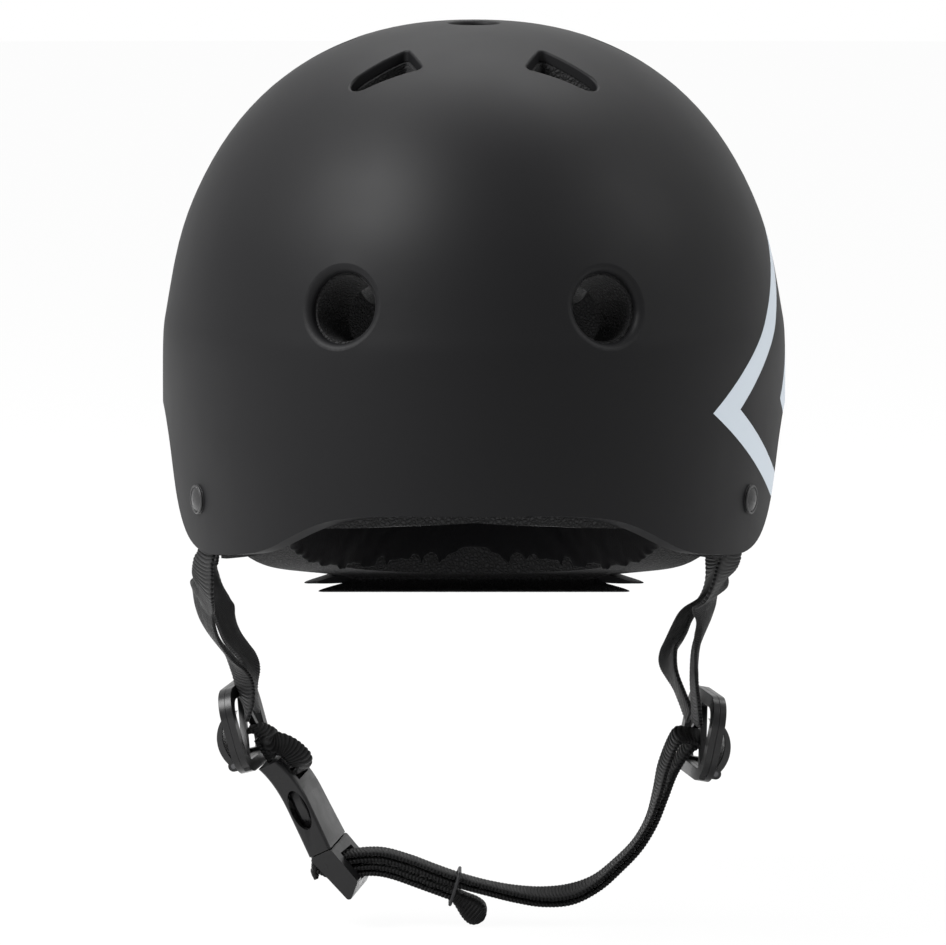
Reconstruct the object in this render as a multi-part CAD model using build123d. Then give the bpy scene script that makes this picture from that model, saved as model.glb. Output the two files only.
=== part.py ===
from build123d import *
from math import atan2, cos, degrees, hypot, radians, sin, sqrt
import os

# Skateboard helmet in millimetres, +Z up, worn upright.
# The face looks along -Y and the wearer's left is +X.
# The origin is on the centre line, under the widest section, at the brow edge's level.

# Outer shell
half_width = 107.0
front_length = 134.0
rear_length = 140.0
widest_level = 32.0
dome_rise = 125.5
dome_power = 2.3
shell_wall = 3.2
tuck = 4.8
tuck_depth = 95.0
dome_arc_points = 9

# Shell edge, seen from the side
lobe_drop = 18.7
arch_rise = 27.0
nape_drop = 50.0

# Foam liner
liner_gap = 0.3
foam_thickness = 20.0
foam_lip = 3.0
brow_lip = 2.4
foam_step = 0.8

# Round vents
round_vent_radius = 11.8
round_vent_lip = 2.6
round_vent_x_share = 0.4112
round_vent_level = 67.5
crown_vent_radius = 8.4
crown_vent_y = -14.0
crown_vent_lip = 1.2

# Bullet-shaped slots on top
slot_inner_width = 17.0
slot_outer_radius = 5.2
slot_corner = 1.6
slot_lip = 0.8
end_slot_x_share = 0.1832
end_slot_y_share = 0.444
end_slot_length = 22.0
end_slot_slant = 17.0
side_slot_x_share = 0.3785
side_slot_y = 2.0
side_slot_length = 27.5

# Comfort pads and their hook patches
pad_thickness = 7.0
pad_edge = 2.6
patch_thickness = 1.4
patch_gap = 0.15
patch_radius = 9.0
brow_pad_share = 1.2336
brow_pad_low = 7.0
brow_pad_high = 44.0
brow_pad_corner = 14.0
nape_pad_share = 1.4766
nape_pad_high = 8.0
nape_pad_lip = 0.4
nape_pad_depth_share = 0.8
nape_pad_corner = 17.0
side_pad_share = 0.4818
side_pad_low = 34.0
side_pad_high = 68.0
side_pad_corner = 12.0
crown_pad_width = 62.0
crown_pad_length = 74.0
crown_pad_corner = 22.0
crown_pad_bore = 12.0

# Strap rivets
rivet_front_share = 0.8654
rivet_front_level = -1.0
rivet_rear_share = 0.8505
rivet_rear_level = -14.0
rivet_head_radius = 5.0
rivet_head_height = 1.7
rivet_rim = 0.5
rivet_shank_radius = 2.0
rivet_hole_gap = 0.1
washer_radius = 5.5
washer_thickness = 1.0

# Webbing, with the strap routes as shares of the half width, the lengths and the hang
web_width = 14.0
web_thickness = 2.0
layer_gap = 0.25
pair_gap = 0.6
strap_gap = 0.5
pocket_side_gap = 2.0
pocket_top = 11.0
web_stations = 16
strap_drop = 21.0
strap_hang = 150.0
strap_spread = 3.2
right_front_leg_shares = [(0.859, -0.336, -0.249), (0.836, -0.224, -0.329), (0.778, -0.104, -0.416)]
right_rear_leg_shares = [(0.789, 0.371, -0.323), (0.745, 0.214, -0.401), (0.7, 0.1, -0.459)]
left_front_leg_shares = [(0.766, -0.336, -0.249), (0.737, -0.209, -0.327), (0.717, -0.09, -0.417)]
left_rear_leg_shares = [(0.726, 0.371, -0.343), (0.664, 0.229, -0.402), (0.654, 0.114, -0.455)]
chin_strap_shares = [
    (0.628, -0.69), (0.593, -0.767), (0.537, -0.847), (0.457, -0.907), (0.369, -0.954),
    (0.247, -0.974), (0.084, -0.96), (-0.055, -0.934), (-0.188, -0.899), (-0.318, -0.875),
]
chin_twist_share = 0.3
keeper_index = 8
lower_strap_share = (0.617, -0.6213)
leg_turn_share = 0.6

# Strap dividers
divider_width = 40.0
divider_length = 30.0
divider_ring = 4.2
divider_thickness = 4.6
divider_corner = 10.0
divider_part_gap = 0.1
bridge_leg = 2.2
bridge_apex_share = 0.62
bridge_foot_share = 0.98
right_divider_x_share = 0.7402
right_divider_level = -86.0
right_divider_lean = 15.0
left_divider_x_share = 0.7364
left_divider_level = -89.0
left_divider_lean = 11.0
divider_turn = 12.0
leg_end_rise = 4.0
web_start_drop = 5.0

# Divider levers
lever_width = 19.0
lever_length = 16.0
lever_plate = 2.0
lever_bow = 2.4
lever_barrel_radius = 1.9
lever_pin_radius = 0.9
lever_pin_gap = 0.05
lever_gap = 0.3
lever_ear = 2.4
lever_level = -11.6

# Side-release buckle
buckle_x_share = 0.5383
buckle_level = -113.9
buckle_lean = 26.0
buckle_turn = 12.0
socket_width = 26.0
socket_top_width = 22.5
socket_length = 31.0
socket_neck = 4.0
socket_neck_lean = 3.4
socket_thickness = 8.4
socket_waist = 1.2
socket_round = 1.2
socket_wall = 1.5
socket_side_wall = 3.3
mouth_depth = 9.0
window_length = 14.6
window_height = 6.2
socket_bar = 4.4
socket_slot_height = 5.0
clip_length = 19.6
clip_shift = 5.0
clip_low_share = 0.72
clip_round = 1.2
clip_slot_drop = 8.6
clip_slot_tilt = 12.0
guide_width = 3.2
guide_length = 14.0
prong_length = 22.0
prong_width = 3.2
catch_depth = 0.7
catch_play = 3.9
catch_length = 9.0
slide_gap = 0.35

# Keeper ring and tail end
keeper_wire = 0.6
keeper_gap = 0.5
keeper_round = 1.8
tail_end_length = 13.0
tail_end_thickness = 9.0
tail_end_droop = 34.0
tail_past = 3.0
tail_end_shares = [(0.0, 0.0), (0.35, 0.3), (0.65, 1.0), (0.9, 0.85), (1.0, 0.45)]
fold_start = 6.0
fold_gap = 0.35

overrun = 10.0
reach = 60.0

# Derived sizes
crown_level = widest_level + dome_rise
round_vent_x = half_width * round_vent_x_share
end_slot_x = half_width * end_slot_x_share
end_slot_y = front_length * end_slot_y_share
side_slot_x = half_width * side_slot_x_share
brow_pad_width = half_width * brow_pad_share
nape_pad_width = half_width * nape_pad_share
side_pad_length = (front_length + rear_length) / 2 * side_pad_share
rivet_front_x = half_width * rivet_front_share
rivet_rear_x = half_width * rivet_rear_share
right_divider_x = half_width * right_divider_x_share
left_divider_x = half_width * left_divider_x_share
buckle_x = half_width * buckle_x_share
foam_outer_inset = shell_wall + liner_gap
foam_inner_inset = foam_outer_inset + foam_thickness
patch_inset = foam_inner_inset + patch_gap
pad_inset = patch_inset + patch_thickness + patch_gap
pad_inner_inset = pad_inset + pad_thickness
pocket_depth = shell_wall + strap_gap + web_thickness + washer_thickness + strap_gap
web_pitch = web_thickness + layer_gap
pair_thickness = web_pitch + web_thickness
pair_pitch = pair_thickness + pair_gap
mouth_level = -socket_length / 2
socket_top = socket_length / 2 + socket_neck
right_divider = (-1, (right_divider_x, 0, right_divider_level), right_divider_lean, divider_turn)
left_divider = (1, (left_divider_x, 0, left_divider_level), left_divider_lean, divider_turn)
buckle = (-1, (buckle_x, 0, buckle_level), buckle_lean, buckle_turn)


def dome_half(inset):
    """One half of the solid dome, its outside moved inwards by inset, on a circular plan."""
    radius = half_width - inset
    rise = dome_rise - inset
    points = []
    for step in range(dome_arc_points + 1):
        turn = radians(90 * step / dome_arc_points)
        across = radius * sin(turn) ** (2 / dome_power)
        up = rise * max(cos(turn), 0) ** (2 / dome_power)
        points.append((across, 0, widest_level + up))
    top = Spline(*points, tangents=[(1, 0, 0), (0, 0, -1)])
    low = widest_level - tuck_depth
    side = TangentArc((radius, 0, widest_level), (radius - tuck, 0, low), tangent=(0, 0, -1))
    floor = Line((radius - tuck, 0, low), (0, 0, low))
    axis = Line((0, 0, low), (0, 0, widest_level + rise))
    face = make_face([top.edge(), side.edge(), floor.edge(), axis.edge()])
    return revolve(face, Axis.Z, 180)


def dome(inset):
    """The whole solid dome: two halves stretched to the front and rear lengths."""
    return stretched(dome_half(inset), inset)


def stretched(half, inset):
    """A half solid on a circular plan, stretched to the rear and, turned round, to the front."""
    radius = half_width - inset
    rear = scale(half, by=(1, (rear_length - inset) / radius, 1))
    front = scale(half.rotate(Axis.Z, 180), by=(1, (front_length - inset) / radius, 1))
    return front + rear


def plan_share(z):
    """The plan's size at a level, as a share of its size at the widest level."""
    if z < widest_level:
        return 1 - tuck * ((widest_level - z) / tuck_depth) ** 2 / half_width
    return (1 - ((z - widest_level) / dome_rise) ** dome_power) ** (1 / dome_power)


def dome_z(x, y):
    """The height of the dome's outside over x and y."""
    length = front_length if y < 0 else rear_length
    radius_share = hypot(x / half_width, y / length)
    return widest_level + dome_rise * (1 - radius_share ** dome_power) ** (1 / dome_power)


def dome_plane(x, z, forward):
    """A plane on the dome's outside, its normal outwards and its x level."""
    length = front_length if forward else rear_length
    share = plan_share(z)
    y = length * sqrt(max(share ** 2 - (x / half_width) ** 2, 0))
    y = -y if forward else y
    if z < widest_level:
        fall = -2 * tuck * (widest_level - z) / tuck_depth ** 2 / half_width
        slope = 1 / share
    else:
        fall = ((z - widest_level) / dome_rise) ** (dome_power - 1) / dome_rise
        slope = share ** (dome_power - 2)
    normal = Vector(slope * x / half_width ** 2, slope * y / length ** 2, fall)
    level = Vector(-normal.Y, normal.X, 0)
    return Plane(origin=(x, y, z), x_dir=level, z_dir=normal)


def brow_levels(lip):
    """The front of the shell's edge, from the brow to the lobe: shares of the length, and levels."""
    drop_shares = [(1.0, 0.0), (0.88, 0.19), (0.745, 0.78), (0.635, 0.94), (0.52, 1.0), (0.41, 0.78)]
    return [(share, -drop * lobe_drop - lip) for share, drop in drop_shares]


def rim_levels(lip):
    """The shell's edge from the brow to the nape: shares of the lengths, and levels.

    The lip lowers the edge in front and at the nape, and leaves the arch over the ear.
    """
    turn_shares = [(0.32, 0.1)]
    arch_shares = [(0.25, 0.57), (0.16, 0.93), (0.0, 1.0), (-0.16, 0.93), (-0.27, 0.48)]
    rear_shares = [(0.37, 0.16), (0.47, 0.48), (0.57, 0.66), (0.69, 0.79), (0.84, 0.92), (1.0, 1.0)]
    levels = brow_levels(lip)
    levels += [(share, -drop * lobe_drop - lip) for share, drop in turn_shares]
    levels += [(share, rise * arch_rise) for share, rise in arch_shares]
    levels += [(-share, -drop * nape_drop - lip) for share, drop in rear_shares]
    return levels


def face_along(line, level):
    """A face between a line along X, its ends carried on level, and one level above or below it."""
    first, last = line @ 0, line @ 1
    first, last = (first.X, first.Y), (last.X, last.Y)
    start, end = first[0] - overrun, last[0] + overrun
    rest = Polyline(last, (end, last[1]), (end, level), (start, level), (start, first[1]), first)
    return make_face(line.edges() + rest.edges())


def above_rim(lip, spread_share):
    """Everything above the edge line as seen from the side, drawn in towards the middle."""
    points = []
    for share, level in rim_levels(lip):
        length = front_length if share > 0 else rear_length
        points.append((-share * length * spread_share, level))
    line = Spline(*points, tangents=[(1, 0), (1, 0)])
    face = Plane.YZ * face_along(line, crown_level + overrun)
    return extrude(face, amount=half_width + overrun, both=True)


def below_brow(lip):
    """Everything below the brow's edge line as seen from the front, in the front half."""
    levels = brow_levels(lip)
    right = [(half_width * sqrt(1 - share ** 2), level) for share, level in levels]
    left = [(-x, level) for x, level in right[:0:-1]]
    face = Plane.XZ.offset(overrun) * face_along(Polyline(*left, *right), -tuck_depth)
    return extrude(face, amount=front_length)


def slot_outline(length, grow):
    """A bullet shape: a straight inner end and a round outer end, along +X."""
    corner = slot_corner + grow
    offset = slot_inner_width / 2 - slot_corner
    tip = slot_outer_radius + grow
    edges = []
    for y in (-offset, offset):
        edges += (Pos(slot_corner, y) * Circle(corner)).edges()
    edges += (Pos(length - slot_outer_radius, 0) * Circle(tip)).edges()
    return make_hull(edges)


def slot_places():
    """Each slot's inner end, length and direction in plan, for both sides."""
    places = []
    for side in (1, -1):
        for end in (-1, 1):
            turn = end * end_slot_slant
            direction = turn if side > 0 else 180 - turn
            places.append((side * end_slot_x, end * end_slot_y, end_slot_length, direction))
        direction = 0 if side > 0 else 180
        places.append((side * side_slot_x, side_slot_y, side_slot_length, direction))
    return places


def round_vent_planes():
    """The four round vents' planes on the dome's outside."""
    return [
        dome_plane(side * round_vent_x, round_vent_level, forward)
        for side in (1, -1)
        for forward in (True, False)
    ]


def crown_vent_plane():
    return dome_plane(0, dome_z(0, crown_vent_y), True)


def round_cutter(plane, radius, depth):
    """A cylinder from depth below the surface to outside."""
    disc = plane.offset(-depth) * Circle(radius)
    return extrude(disc, amount=depth + overrun, dir=plane.z_dir)


def slot_cutter(place, grow, depth):
    """An upright prism over the slot, from depth below its middle to above the crown."""
    x, y, length, direction = place
    middle = length / 2
    mid_x = x + middle * cos(radians(direction))
    mid_y = y + middle * sin(radians(direction))
    low = dome_z(mid_x, mid_y) - depth
    outline = Pos(x, y, low) * Rot(Z=direction) * slot_outline(length, grow)
    return extrude(outline, amount=crown_level - low + overrun, dir=(0, 0, 1))


def lip_edges(body, middle, normal, across, depth):
    """The edges of a fresh cut that lie on the outside, near its middle."""
    chosen = []
    for edge in body.edges():
        offset = edge.center() - middle
        if offset.length < across and offset.dot(normal) > -depth:
            chosen.append(edge)
    return chosen


def vented_dome():
    """The solid outer dome with every vent sunk into it and its lip rounded."""
    body = dome(0)
    blind = shell_wall * 4
    for plane in round_vent_planes():
        body -= round_cutter(plane, round_vent_radius, blind)
        lips = lip_edges(body, plane.origin, plane.z_dir, round_vent_radius * 1.5, blind / 2)
        body = fillet(lips, round_vent_lip)
    crown = crown_vent_plane()
    body -= round_cutter(crown, crown_vent_radius, blind)
    lips = lip_edges(body, crown.origin, crown.z_dir, crown_vent_radius * 1.5, blind / 2)
    body = fillet(lips, crown_vent_lip)
    for place in slot_places():
        x, y, length, direction = place
        mid_x = x + length / 2 * cos(radians(direction))
        mid_y = y + length / 2 * sin(radians(direction))
        middle = Vector(mid_x, mid_y, dome_z(mid_x, mid_y))
        normal = dome_plane(mid_x, middle.Z, mid_y < 0).z_dir
        body -= slot_cutter(place, 0, blind)
        body = fillet(lip_edges(body, middle, normal, length * 0.75, blind / 3), slot_lip)
    return body


def rivet_planes():
    """Planes on the outside at the four strap rivets: front left, front right, rear left, rear right."""
    planes = []
    for side in (1, -1):
        planes.append(dome_plane(side * rivet_front_x, rivet_front_level, True))
    for side in (1, -1):
        planes.append(dome_plane(side * rivet_rear_x, rivet_rear_level, False))
    return planes


def outer_shell():
    shell = vented_dome() - dome(shell_wall)
    shell &= above_rim(0, 1)
    for plane in rivet_planes():
        hole = plane.offset(-overrun) * Circle(rivet_shank_radius + rivet_hole_gap)
        shell -= extrude(hole, amount=2 * overrun, dir=plane.z_dir)
    return shell


def strap_pocket(plane):
    """The room behind the shell for a strap's end, its rivet and its washer."""
    width = web_width + 2 * pocket_side_gap
    height = pocket_top + reach
    block = Box(width, height, pocket_depth + overrun, align=(Align.CENTER, Align.MAX, Align.MIN))
    return plane * Pos(0, pocket_top, -pocket_depth) * block


def foam_liner():
    foam = dome(foam_outer_inset) - dome(foam_inner_inset)
    foam &= above_rim(foam_lip, 1)
    foam -= below_brow(brow_lip)
    for plane in round_vent_planes():
        foam -= round_cutter(plane, round_vent_radius - foam_step, reach)
    foam -= round_cutter(crown_vent_plane(), crown_vent_radius - foam_step, reach)
    for place in slot_places():
        foam -= slot_cutter(place, -foam_step, reach)
    for plane in rivet_planes():
        foam -= strap_pocket(plane)
    return foam


def pad_layer():
    return dome(pad_inset) - dome(pad_inner_inset)


def soften(pad):
    """Round a pad's edges that face the head, so that it crowns and its sides draw in."""
    return fillet([edge for edge in pad.edges() if faces_head(edge)], pad_edge)


def faces_head(edge):
    """Whether an edge bounds the pad's face towards the head, and is no seam between halves."""
    spots = [edge.position_at(share) for share in (0, 0.3, 0.5, 0.8, 1)]
    if all(abs(spot.Y) < patch_gap / 10 for spot in spots):
        return False
    if all(abs(spot.Z - widest_level) < patch_gap / 10 for spot in spots):
        return False
    return all(abs(depth_under(spot) - pad_inner_inset) < pad_edge / 3 for spot in spots)


def depth_under(spot):
    """Roughly how deep a point lies under the dome's outside."""
    low, high = 0, half_width / 2
    while high - low > patch_gap / 10:
        middle = (low + high) / 2
        if is_inside(spot, middle):
            low = middle
        else:
            high = middle
    return low


def is_inside(spot, inset):
    """Whether a point lies inside the dome moved inwards by inset."""
    length = (front_length if spot.Y < 0 else rear_length) - inset
    radius = half_width - inset
    across = hypot(spot.X / radius, spot.Y / length)
    if spot.Z < widest_level:
        return across < 1 - tuck * ((widest_level - spot.Z) / tuck_depth) ** 2 / radius
    lift = (spot.Z - widest_level) / (dome_rise - inset)
    return across ** dome_power + lift ** dome_power < 1


def dome_radius(level, inset):
    """The circular plan's radius at a level."""
    lift = max(level - widest_level, 0) / (dome_rise - inset)
    return (half_width - inset) * (1 - lift ** dome_power) ** (1 / dome_power)


def crown_spool(low, high):
    """A waisted solid whose side bulges towards the head halfway up, cut from a pad's face."""
    middle = (low + high) / 2
    low -= pad_edge / 2
    high += pad_edge / 2
    foot = (dome_radius(low, pad_inner_inset) + pad_edge * 1.5, 0, low)
    waist = (dome_radius(middle, pad_inner_inset), 0, middle)
    top = (dome_radius(high, pad_inner_inset) + pad_edge * 1.5, 0, high)
    edges = [
        ThreePointArc(foot, waist, top).edge(),
        Line(top, (0, 0, high)).edge(),
        Line((0, 0, high), (0, 0, low)).edge(),
        Line((0, 0, low), foot).edge(),
    ]
    return stretched(revolve(make_face(edges), Axis.Z, 180), pad_inner_inset)


def rounded_block(width, height, corner, depth):
    return extrude(RectangleRounded(width, height, corner), amount=depth)


def brow_pad(layer):
    height = brow_pad_high - brow_pad_low
    middle = (brow_pad_high + brow_pad_low) / 2
    frame = Plane(origin=(0, 0, middle), x_dir=(1, 0, 0), z_dir=(0, -1, 0))
    block = frame * rounded_block(brow_pad_width, height, brow_pad_corner, front_length)
    return (layer & block) - crown_spool(brow_pad_low, brow_pad_high)


def rear_pad(layer):
    """The nape pad, whose lower edge follows the shell's edge."""
    height = nape_pad_high + nape_drop * 2
    frame = Plane(origin=(0, 0, nape_pad_high - height / 2), x_dir=(-1, 0, 0), z_dir=(0, 1, 0))
    block = frame * rounded_block(nape_pad_width, height, nape_pad_corner, rear_length)
    pad = layer & block & above_rim(nape_pad_lip, nape_pad_depth_share)
    return pad - crown_spool(-nape_drop, nape_pad_high)


def side_pad(layer, side):
    height = side_pad_high - side_pad_low
    middle = (side_pad_high + side_pad_low) / 2
    frame = Plane(origin=(0, 0, middle), x_dir=(0, side, 0), z_dir=(side, 0, 0))
    block = frame * rounded_block(side_pad_length, height, side_pad_corner, half_width)
    return (layer & block) - crown_spool(side_pad_low, side_pad_high)


def crown_pad(layer):
    frame = Plane(origin=(0, 0, widest_level), x_dir=(1, 0, 0), z_dir=(0, 0, 1))
    block = frame * rounded_block(crown_pad_width, crown_pad_length, crown_pad_corner, dome_rise)
    bore = frame * extrude(Circle(crown_pad_bore), amount=dome_rise)
    return soften(layer & (block - bore))


def hook_patches():
    """Thin round patches glued to the foam, two or three behind each pad."""
    layer = dome(patch_inset) - dome(patch_inset + patch_thickness)
    brow_level = (brow_pad_low + brow_pad_high) / 2
    side_level = (side_pad_low + side_pad_high) / 2
    nape_level = -patch_radius * 1.5
    crown_y = crown_pad_length / 2 - patch_radius * 1.4
    spots = []
    for side in (-1, 1):
        spots.append(Plane(origin=(side * brow_pad_width / 3.4, 0, brow_level), z_dir=(0, -1, 0)))
        spots.append(Plane(origin=(side * nape_pad_width / 3.2, 0, nape_level), z_dir=(0, 1, 0)))
        spots.append(Plane(origin=(0, side * side_pad_length / 3.4, side_level), z_dir=(1, 0, 0)))
        spots.append(Plane(origin=(0, side * side_pad_length / 3.4, side_level), z_dir=(-1, 0, 0)))
        spots.append(Plane(origin=(0, side * crown_y, widest_level), z_dir=(0, 0, 1)))
    spots.append(Plane(origin=(0, 0, nape_level), z_dir=(0, 1, 0)))
    patches = []
    for spot in spots:
        tube = extrude(spot * Circle(patch_radius), amount=rear_length)
        patches += (layer & tube).solids()
    return Compound(children=patches)


def strap_rivet(plane):
    """A low domed head with a raised rim, and the shank through shell, strap and washer."""
    head_ball = rivet_head_radius ** 2 / (2 * rivet_head_height) + rivet_head_height / 2
    ball = Pos(0, 0, rivet_head_height - head_ball) * Sphere(head_ball)
    disc = extrude(Circle(rivet_head_radius), amount=rivet_head_height)
    rim = Pos(0, 0, rivet_rim) * Torus(rivet_head_radius - rivet_rim, rivet_rim)
    shank_length = pocket_depth - strap_gap / 2
    sink = rivet_head_height / 2
    shank = Pos(0, 0, -shank_length) * extrude(Circle(rivet_shank_radius), amount=shank_length + sink)
    return plane * (((ball & disc) + rim) + shank)


def rivet_washer(plane):
    """The washer that clamps the strap's end against the shell."""
    ring = Circle(washer_radius) - Circle(rivet_shank_radius + rivet_hole_gap)
    level = shell_wall + strap_gap + web_thickness + layer_gap / 2
    return plane * Pos(0, 0, -level - washer_thickness) * extrude(ring, amount=washer_thickness)


def blend_directions(directions, share):
    """The direction at a share of the way along a list of directions."""
    place = share * (len(directions) - 1)
    index = min(int(place), len(directions) - 2)
    rest = place - index
    return directions[index] * (1 - rest) + directions[index + 1] * rest


def webbing(path, widths, lift=0, spread=0, thickness=web_thickness):
    """A flat strap along a path, each cross-section turned to its width direction.

    The lift moves it along its own thickness, and spread moves its first fifth further.
    """
    sections = []
    mode = PositionMode.LENGTH
    for step in range(web_stations + 1):
        share = step / web_stations
        place = share * path.length
        along = path.tangent_at(place, position_mode=mode)
        across = blend_directions(widths, share)
        across = (across - along * across.dot(along)).normalized()
        start_share = max(1 - share * 5, 0)
        normal = along.cross(across)
        middle = path.position_at(place, position_mode=mode) + normal * (lift + spread * start_share ** 2)
        plane = Plane(origin=middle, x_dir=across, z_dir=along)
        sections.append(plane * Rectangle(web_width, thickness))
    return loft(sections, ruled=True)


def beside(points, index, distance):
    """A point of a level route, moved down square to the line through its neighbours."""
    run = points[index + 1] - points[index - 1]
    normal = Vector(run.Z, 0, -run.X).normalized()
    if normal.Z > 0:
        normal = normal * -1
    return points[index] + normal * distance


def seat(piece, side, place, lean, turn):
    """Put a piece made for the wearer's left, with X outwards, where it hangs on its own side."""
    placed = Pos(*place) * Rot(Y=lean) * Rot(Z=turn) * piece
    return placed if side > 0 else mirror(placed, about=Plane.YZ)


def seat_point(point, side, place, lean, turn):
    """Where a local point of a hung piece lies on the helmet."""
    location = Pos(*place) * Rot(Y=lean) * Rot(Z=turn)
    moved = (location * Pos(*point)).position
    return Vector(side * moved.X, moved.Y, moved.Z)


def divider_outline(inset):
    return RectangleRounded(divider_width - 2 * inset, divider_length - 2 * inset, divider_corner - inset)


def upright(sketch, low, high):
    """Extrude a sketch drawn as width and height, between two levels outwards."""
    frame = Plane(origin=(low, 0, 0), x_dir=(0, 1, 0), z_dir=(1, 0, 0))
    return extrude(frame * sketch, amount=high - low, dir=(1, 0, 0))


def divider_bridge():
    """The A-shaped bridge that parts the two straps, drawn as width and height."""
    apex = (0, divider_length / 2 * bridge_apex_share)
    foot_y = -divider_length / 2 + divider_ring / 2
    foot_x = (divider_width / 2 - divider_ring) * bridge_foot_share
    post_top = divider_length / 2 - divider_ring / 2
    sketch = Sketch()
    for side in (-1, 1):
        foot = (side * foot_x, foot_y)
        run = hypot(foot[0] - apex[0], foot[1] - apex[1])
        angle = degrees(atan2(foot[1] - apex[1], foot[0] - apex[0]))
        middle = ((foot[0] + apex[0]) / 2, (foot[1] + apex[1]) / 2)
        sketch += Pos(*middle) * Rot(Z=angle) * RectangleRounded(
            run + bridge_leg, bridge_leg, bridge_leg * 0.49
        )
    post = post_top - apex[1] + bridge_leg
    sketch += Pos(0, apex[1] + post / 2 - bridge_leg / 2) * Rectangle(bridge_leg, post)
    return sketch


def divider_base():
    """The inner half of the divider: a rounded ring with the bridge across it."""
    half = divider_thickness / 2
    ring = divider_outline(0) - divider_outline(divider_ring)
    body = upright(ring, -half, -divider_part_gap / 2)
    body += upright(divider_bridge(), -half, -divider_part_gap / 2)
    return body


def divider_cover():
    """The outer half of the divider, with the two ears that hold the lever's pin."""
    half = divider_thickness / 2
    ring = divider_outline(0) - divider_outline(divider_ring)
    body = upright(ring, divider_part_gap / 2, half)
    out = lever_axis_x()
    for side in (-1, 1):
        y = side * (lever_width / 2 + lever_gap + lever_ear / 2)
        ear = Pos(out, y, lever_level) * Rot(X=90) * Cylinder(lever_barrel_radius, lever_ear)
        foot = Pos(out / 2, y, lever_level) * Box(out, lever_ear, 2 * lever_barrel_radius)
        body += ear + foot
    pin_hole = Rot(X=90) * Cylinder(lever_pin_radius, divider_width)
    return body - Pos(out, 0, lever_level) * pin_hole


def lever_axis_x():
    return divider_thickness / 2 + lever_gap + lever_barrel_radius


def divider_lever():
    """A bowed plate that swings outwards about the pin at its foot."""
    x = lever_axis_x()
    tip = lever_level + lever_length
    low = lever_level
    inner = x - lever_barrel_radius * 0.5
    outer_arc = ThreePointArc(
        (x + lever_barrel_radius, 0, low),
        (x + lever_barrel_radius + lever_bow, 0, low + lever_length * 0.55),
        (x + lever_plate * 0.4, 0, tip),
    )
    inner_arc = ThreePointArc(
        (x - lever_plate * 0.4, 0, tip),
        (x + lever_bow * 0.8, 0, low + lever_length * 0.55),
        (inner, 0, low),
    )
    outline = [
        outer_arc.edge(),
        Line(outer_arc @ 1, inner_arc @ 0).edge(),
        inner_arc.edge(),
        Line(inner_arc @ 1, outer_arc @ 0).edge(),
    ]
    plate = extrude(make_face(outline), amount=lever_width / 2, dir=(0, 1, 0), both=True)
    barrel = Pos(x, 0, low) * Rot(X=90) * Cylinder(lever_barrel_radius, lever_width)
    hole = Pos(x, 0, low) * Rot(X=90) * Cylinder(lever_pin_radius + lever_pin_gap, divider_width)
    return plate + barrel - hole


def divider_pin():
    length = lever_width + 2 * (lever_gap + lever_ear)
    return Pos(lever_axis_x(), 0, lever_level) * Rot(X=90) * Cylinder(lever_pin_radius, length)


def side_profile():
    """The socket from its narrow side: straight at the mouth, its top bent outwards."""
    half = socket_thickness / 2
    bend = socket_slot_height
    edges = []
    tops = []
    for side in (-1, 1):
        top = (side * half * 0.9 + socket_neck_lean, 0, socket_top)
        tops.append(top)
        run = Line((side * half, 0, mouth_level), (side * half, 0, bend / 2)).edge()
        curve = Spline((side * half, 0, bend / 2), top, tangents=[(0, 0, 1), (0.45, 0, 1)]).edge()
        edges += [run, curve]
    edges.append(Line(tops[0], tops[1]).edge())
    edges.append(Line((-half, 0, mouth_level), (half, 0, mouth_level)).edge())
    return extrude(make_face(edges), amount=socket_width, dir=(0, 1, 0), both=True)


def socket_body():
    """The buckle's socket, Z along it, its mouth down and its strap bar on top."""
    mouth_y = socket_width / 2
    waist_y = mouth_y - socket_waist
    top_y = socket_top_width / 2
    sides = []
    for side in (-1, 1):
        curve = Spline((side * mouth_y, mouth_level), (side * waist_y, 0), (side * top_y, socket_top))
        sides.append(curve.edge())
    foot = Line((-mouth_y, mouth_level), (mouth_y, mouth_level)).edge()
    head = Line((-top_y, socket_top), (top_y, socket_top)).edge()
    body = upright(make_face([*sides, foot, head]), -socket_width, socket_width) & side_profile()
    long_edges = [edge for edge in body.edges() if abs(edge.center().Y) > top_y * 0.9]
    return fillet([edge for edge in long_edges if edge.length > socket_round * 8], socket_round)


def half_room():
    """Half the width inside the socket, behind its collar."""
    return socket_width / 2 - socket_side_wall


def buckle_socket():
    body = socket_body()
    room_height = socket_thickness - 2 * socket_wall
    slot_low = socket_top - socket_bar - socket_slot_height
    room_top = slot_low - socket_wall
    collar_top = mouth_level + mouth_depth
    room_length = room_top - collar_top
    room = Box(room_height, 2 * half_room(), room_length)
    collar_width = 2 * (half_room() - catch_depth / 2)
    collar = Box(room_height, collar_width, mouth_depth + overrun)
    body -= Pos(0, 0, collar_top + room_length / 2) * room
    body -= Pos(0, 0, collar_top - (mouth_depth + overrun) / 2) * collar
    window = Rot(X=90) * Cylinder(window_height / 2, socket_width + overrun)
    window = scale(window, by=(1, 1, window_length / window_height))
    body -= Pos(0, 0, collar_top + window_length / 2) * window
    slot_width = web_width + 2 * strap_gap
    slot = Box(2 * socket_width, slot_width, socket_slot_height)
    return body - Pos(0, 0, slot_low + socket_slot_height / 2) * slot


def clip_slot_place():
    """The middle of the clip's strap slot in the buckle's own frame."""
    drop = clip_slot_drop
    return (-clip_shift * drop / clip_length, 0, mouth_level - slide_gap - drop)


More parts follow.
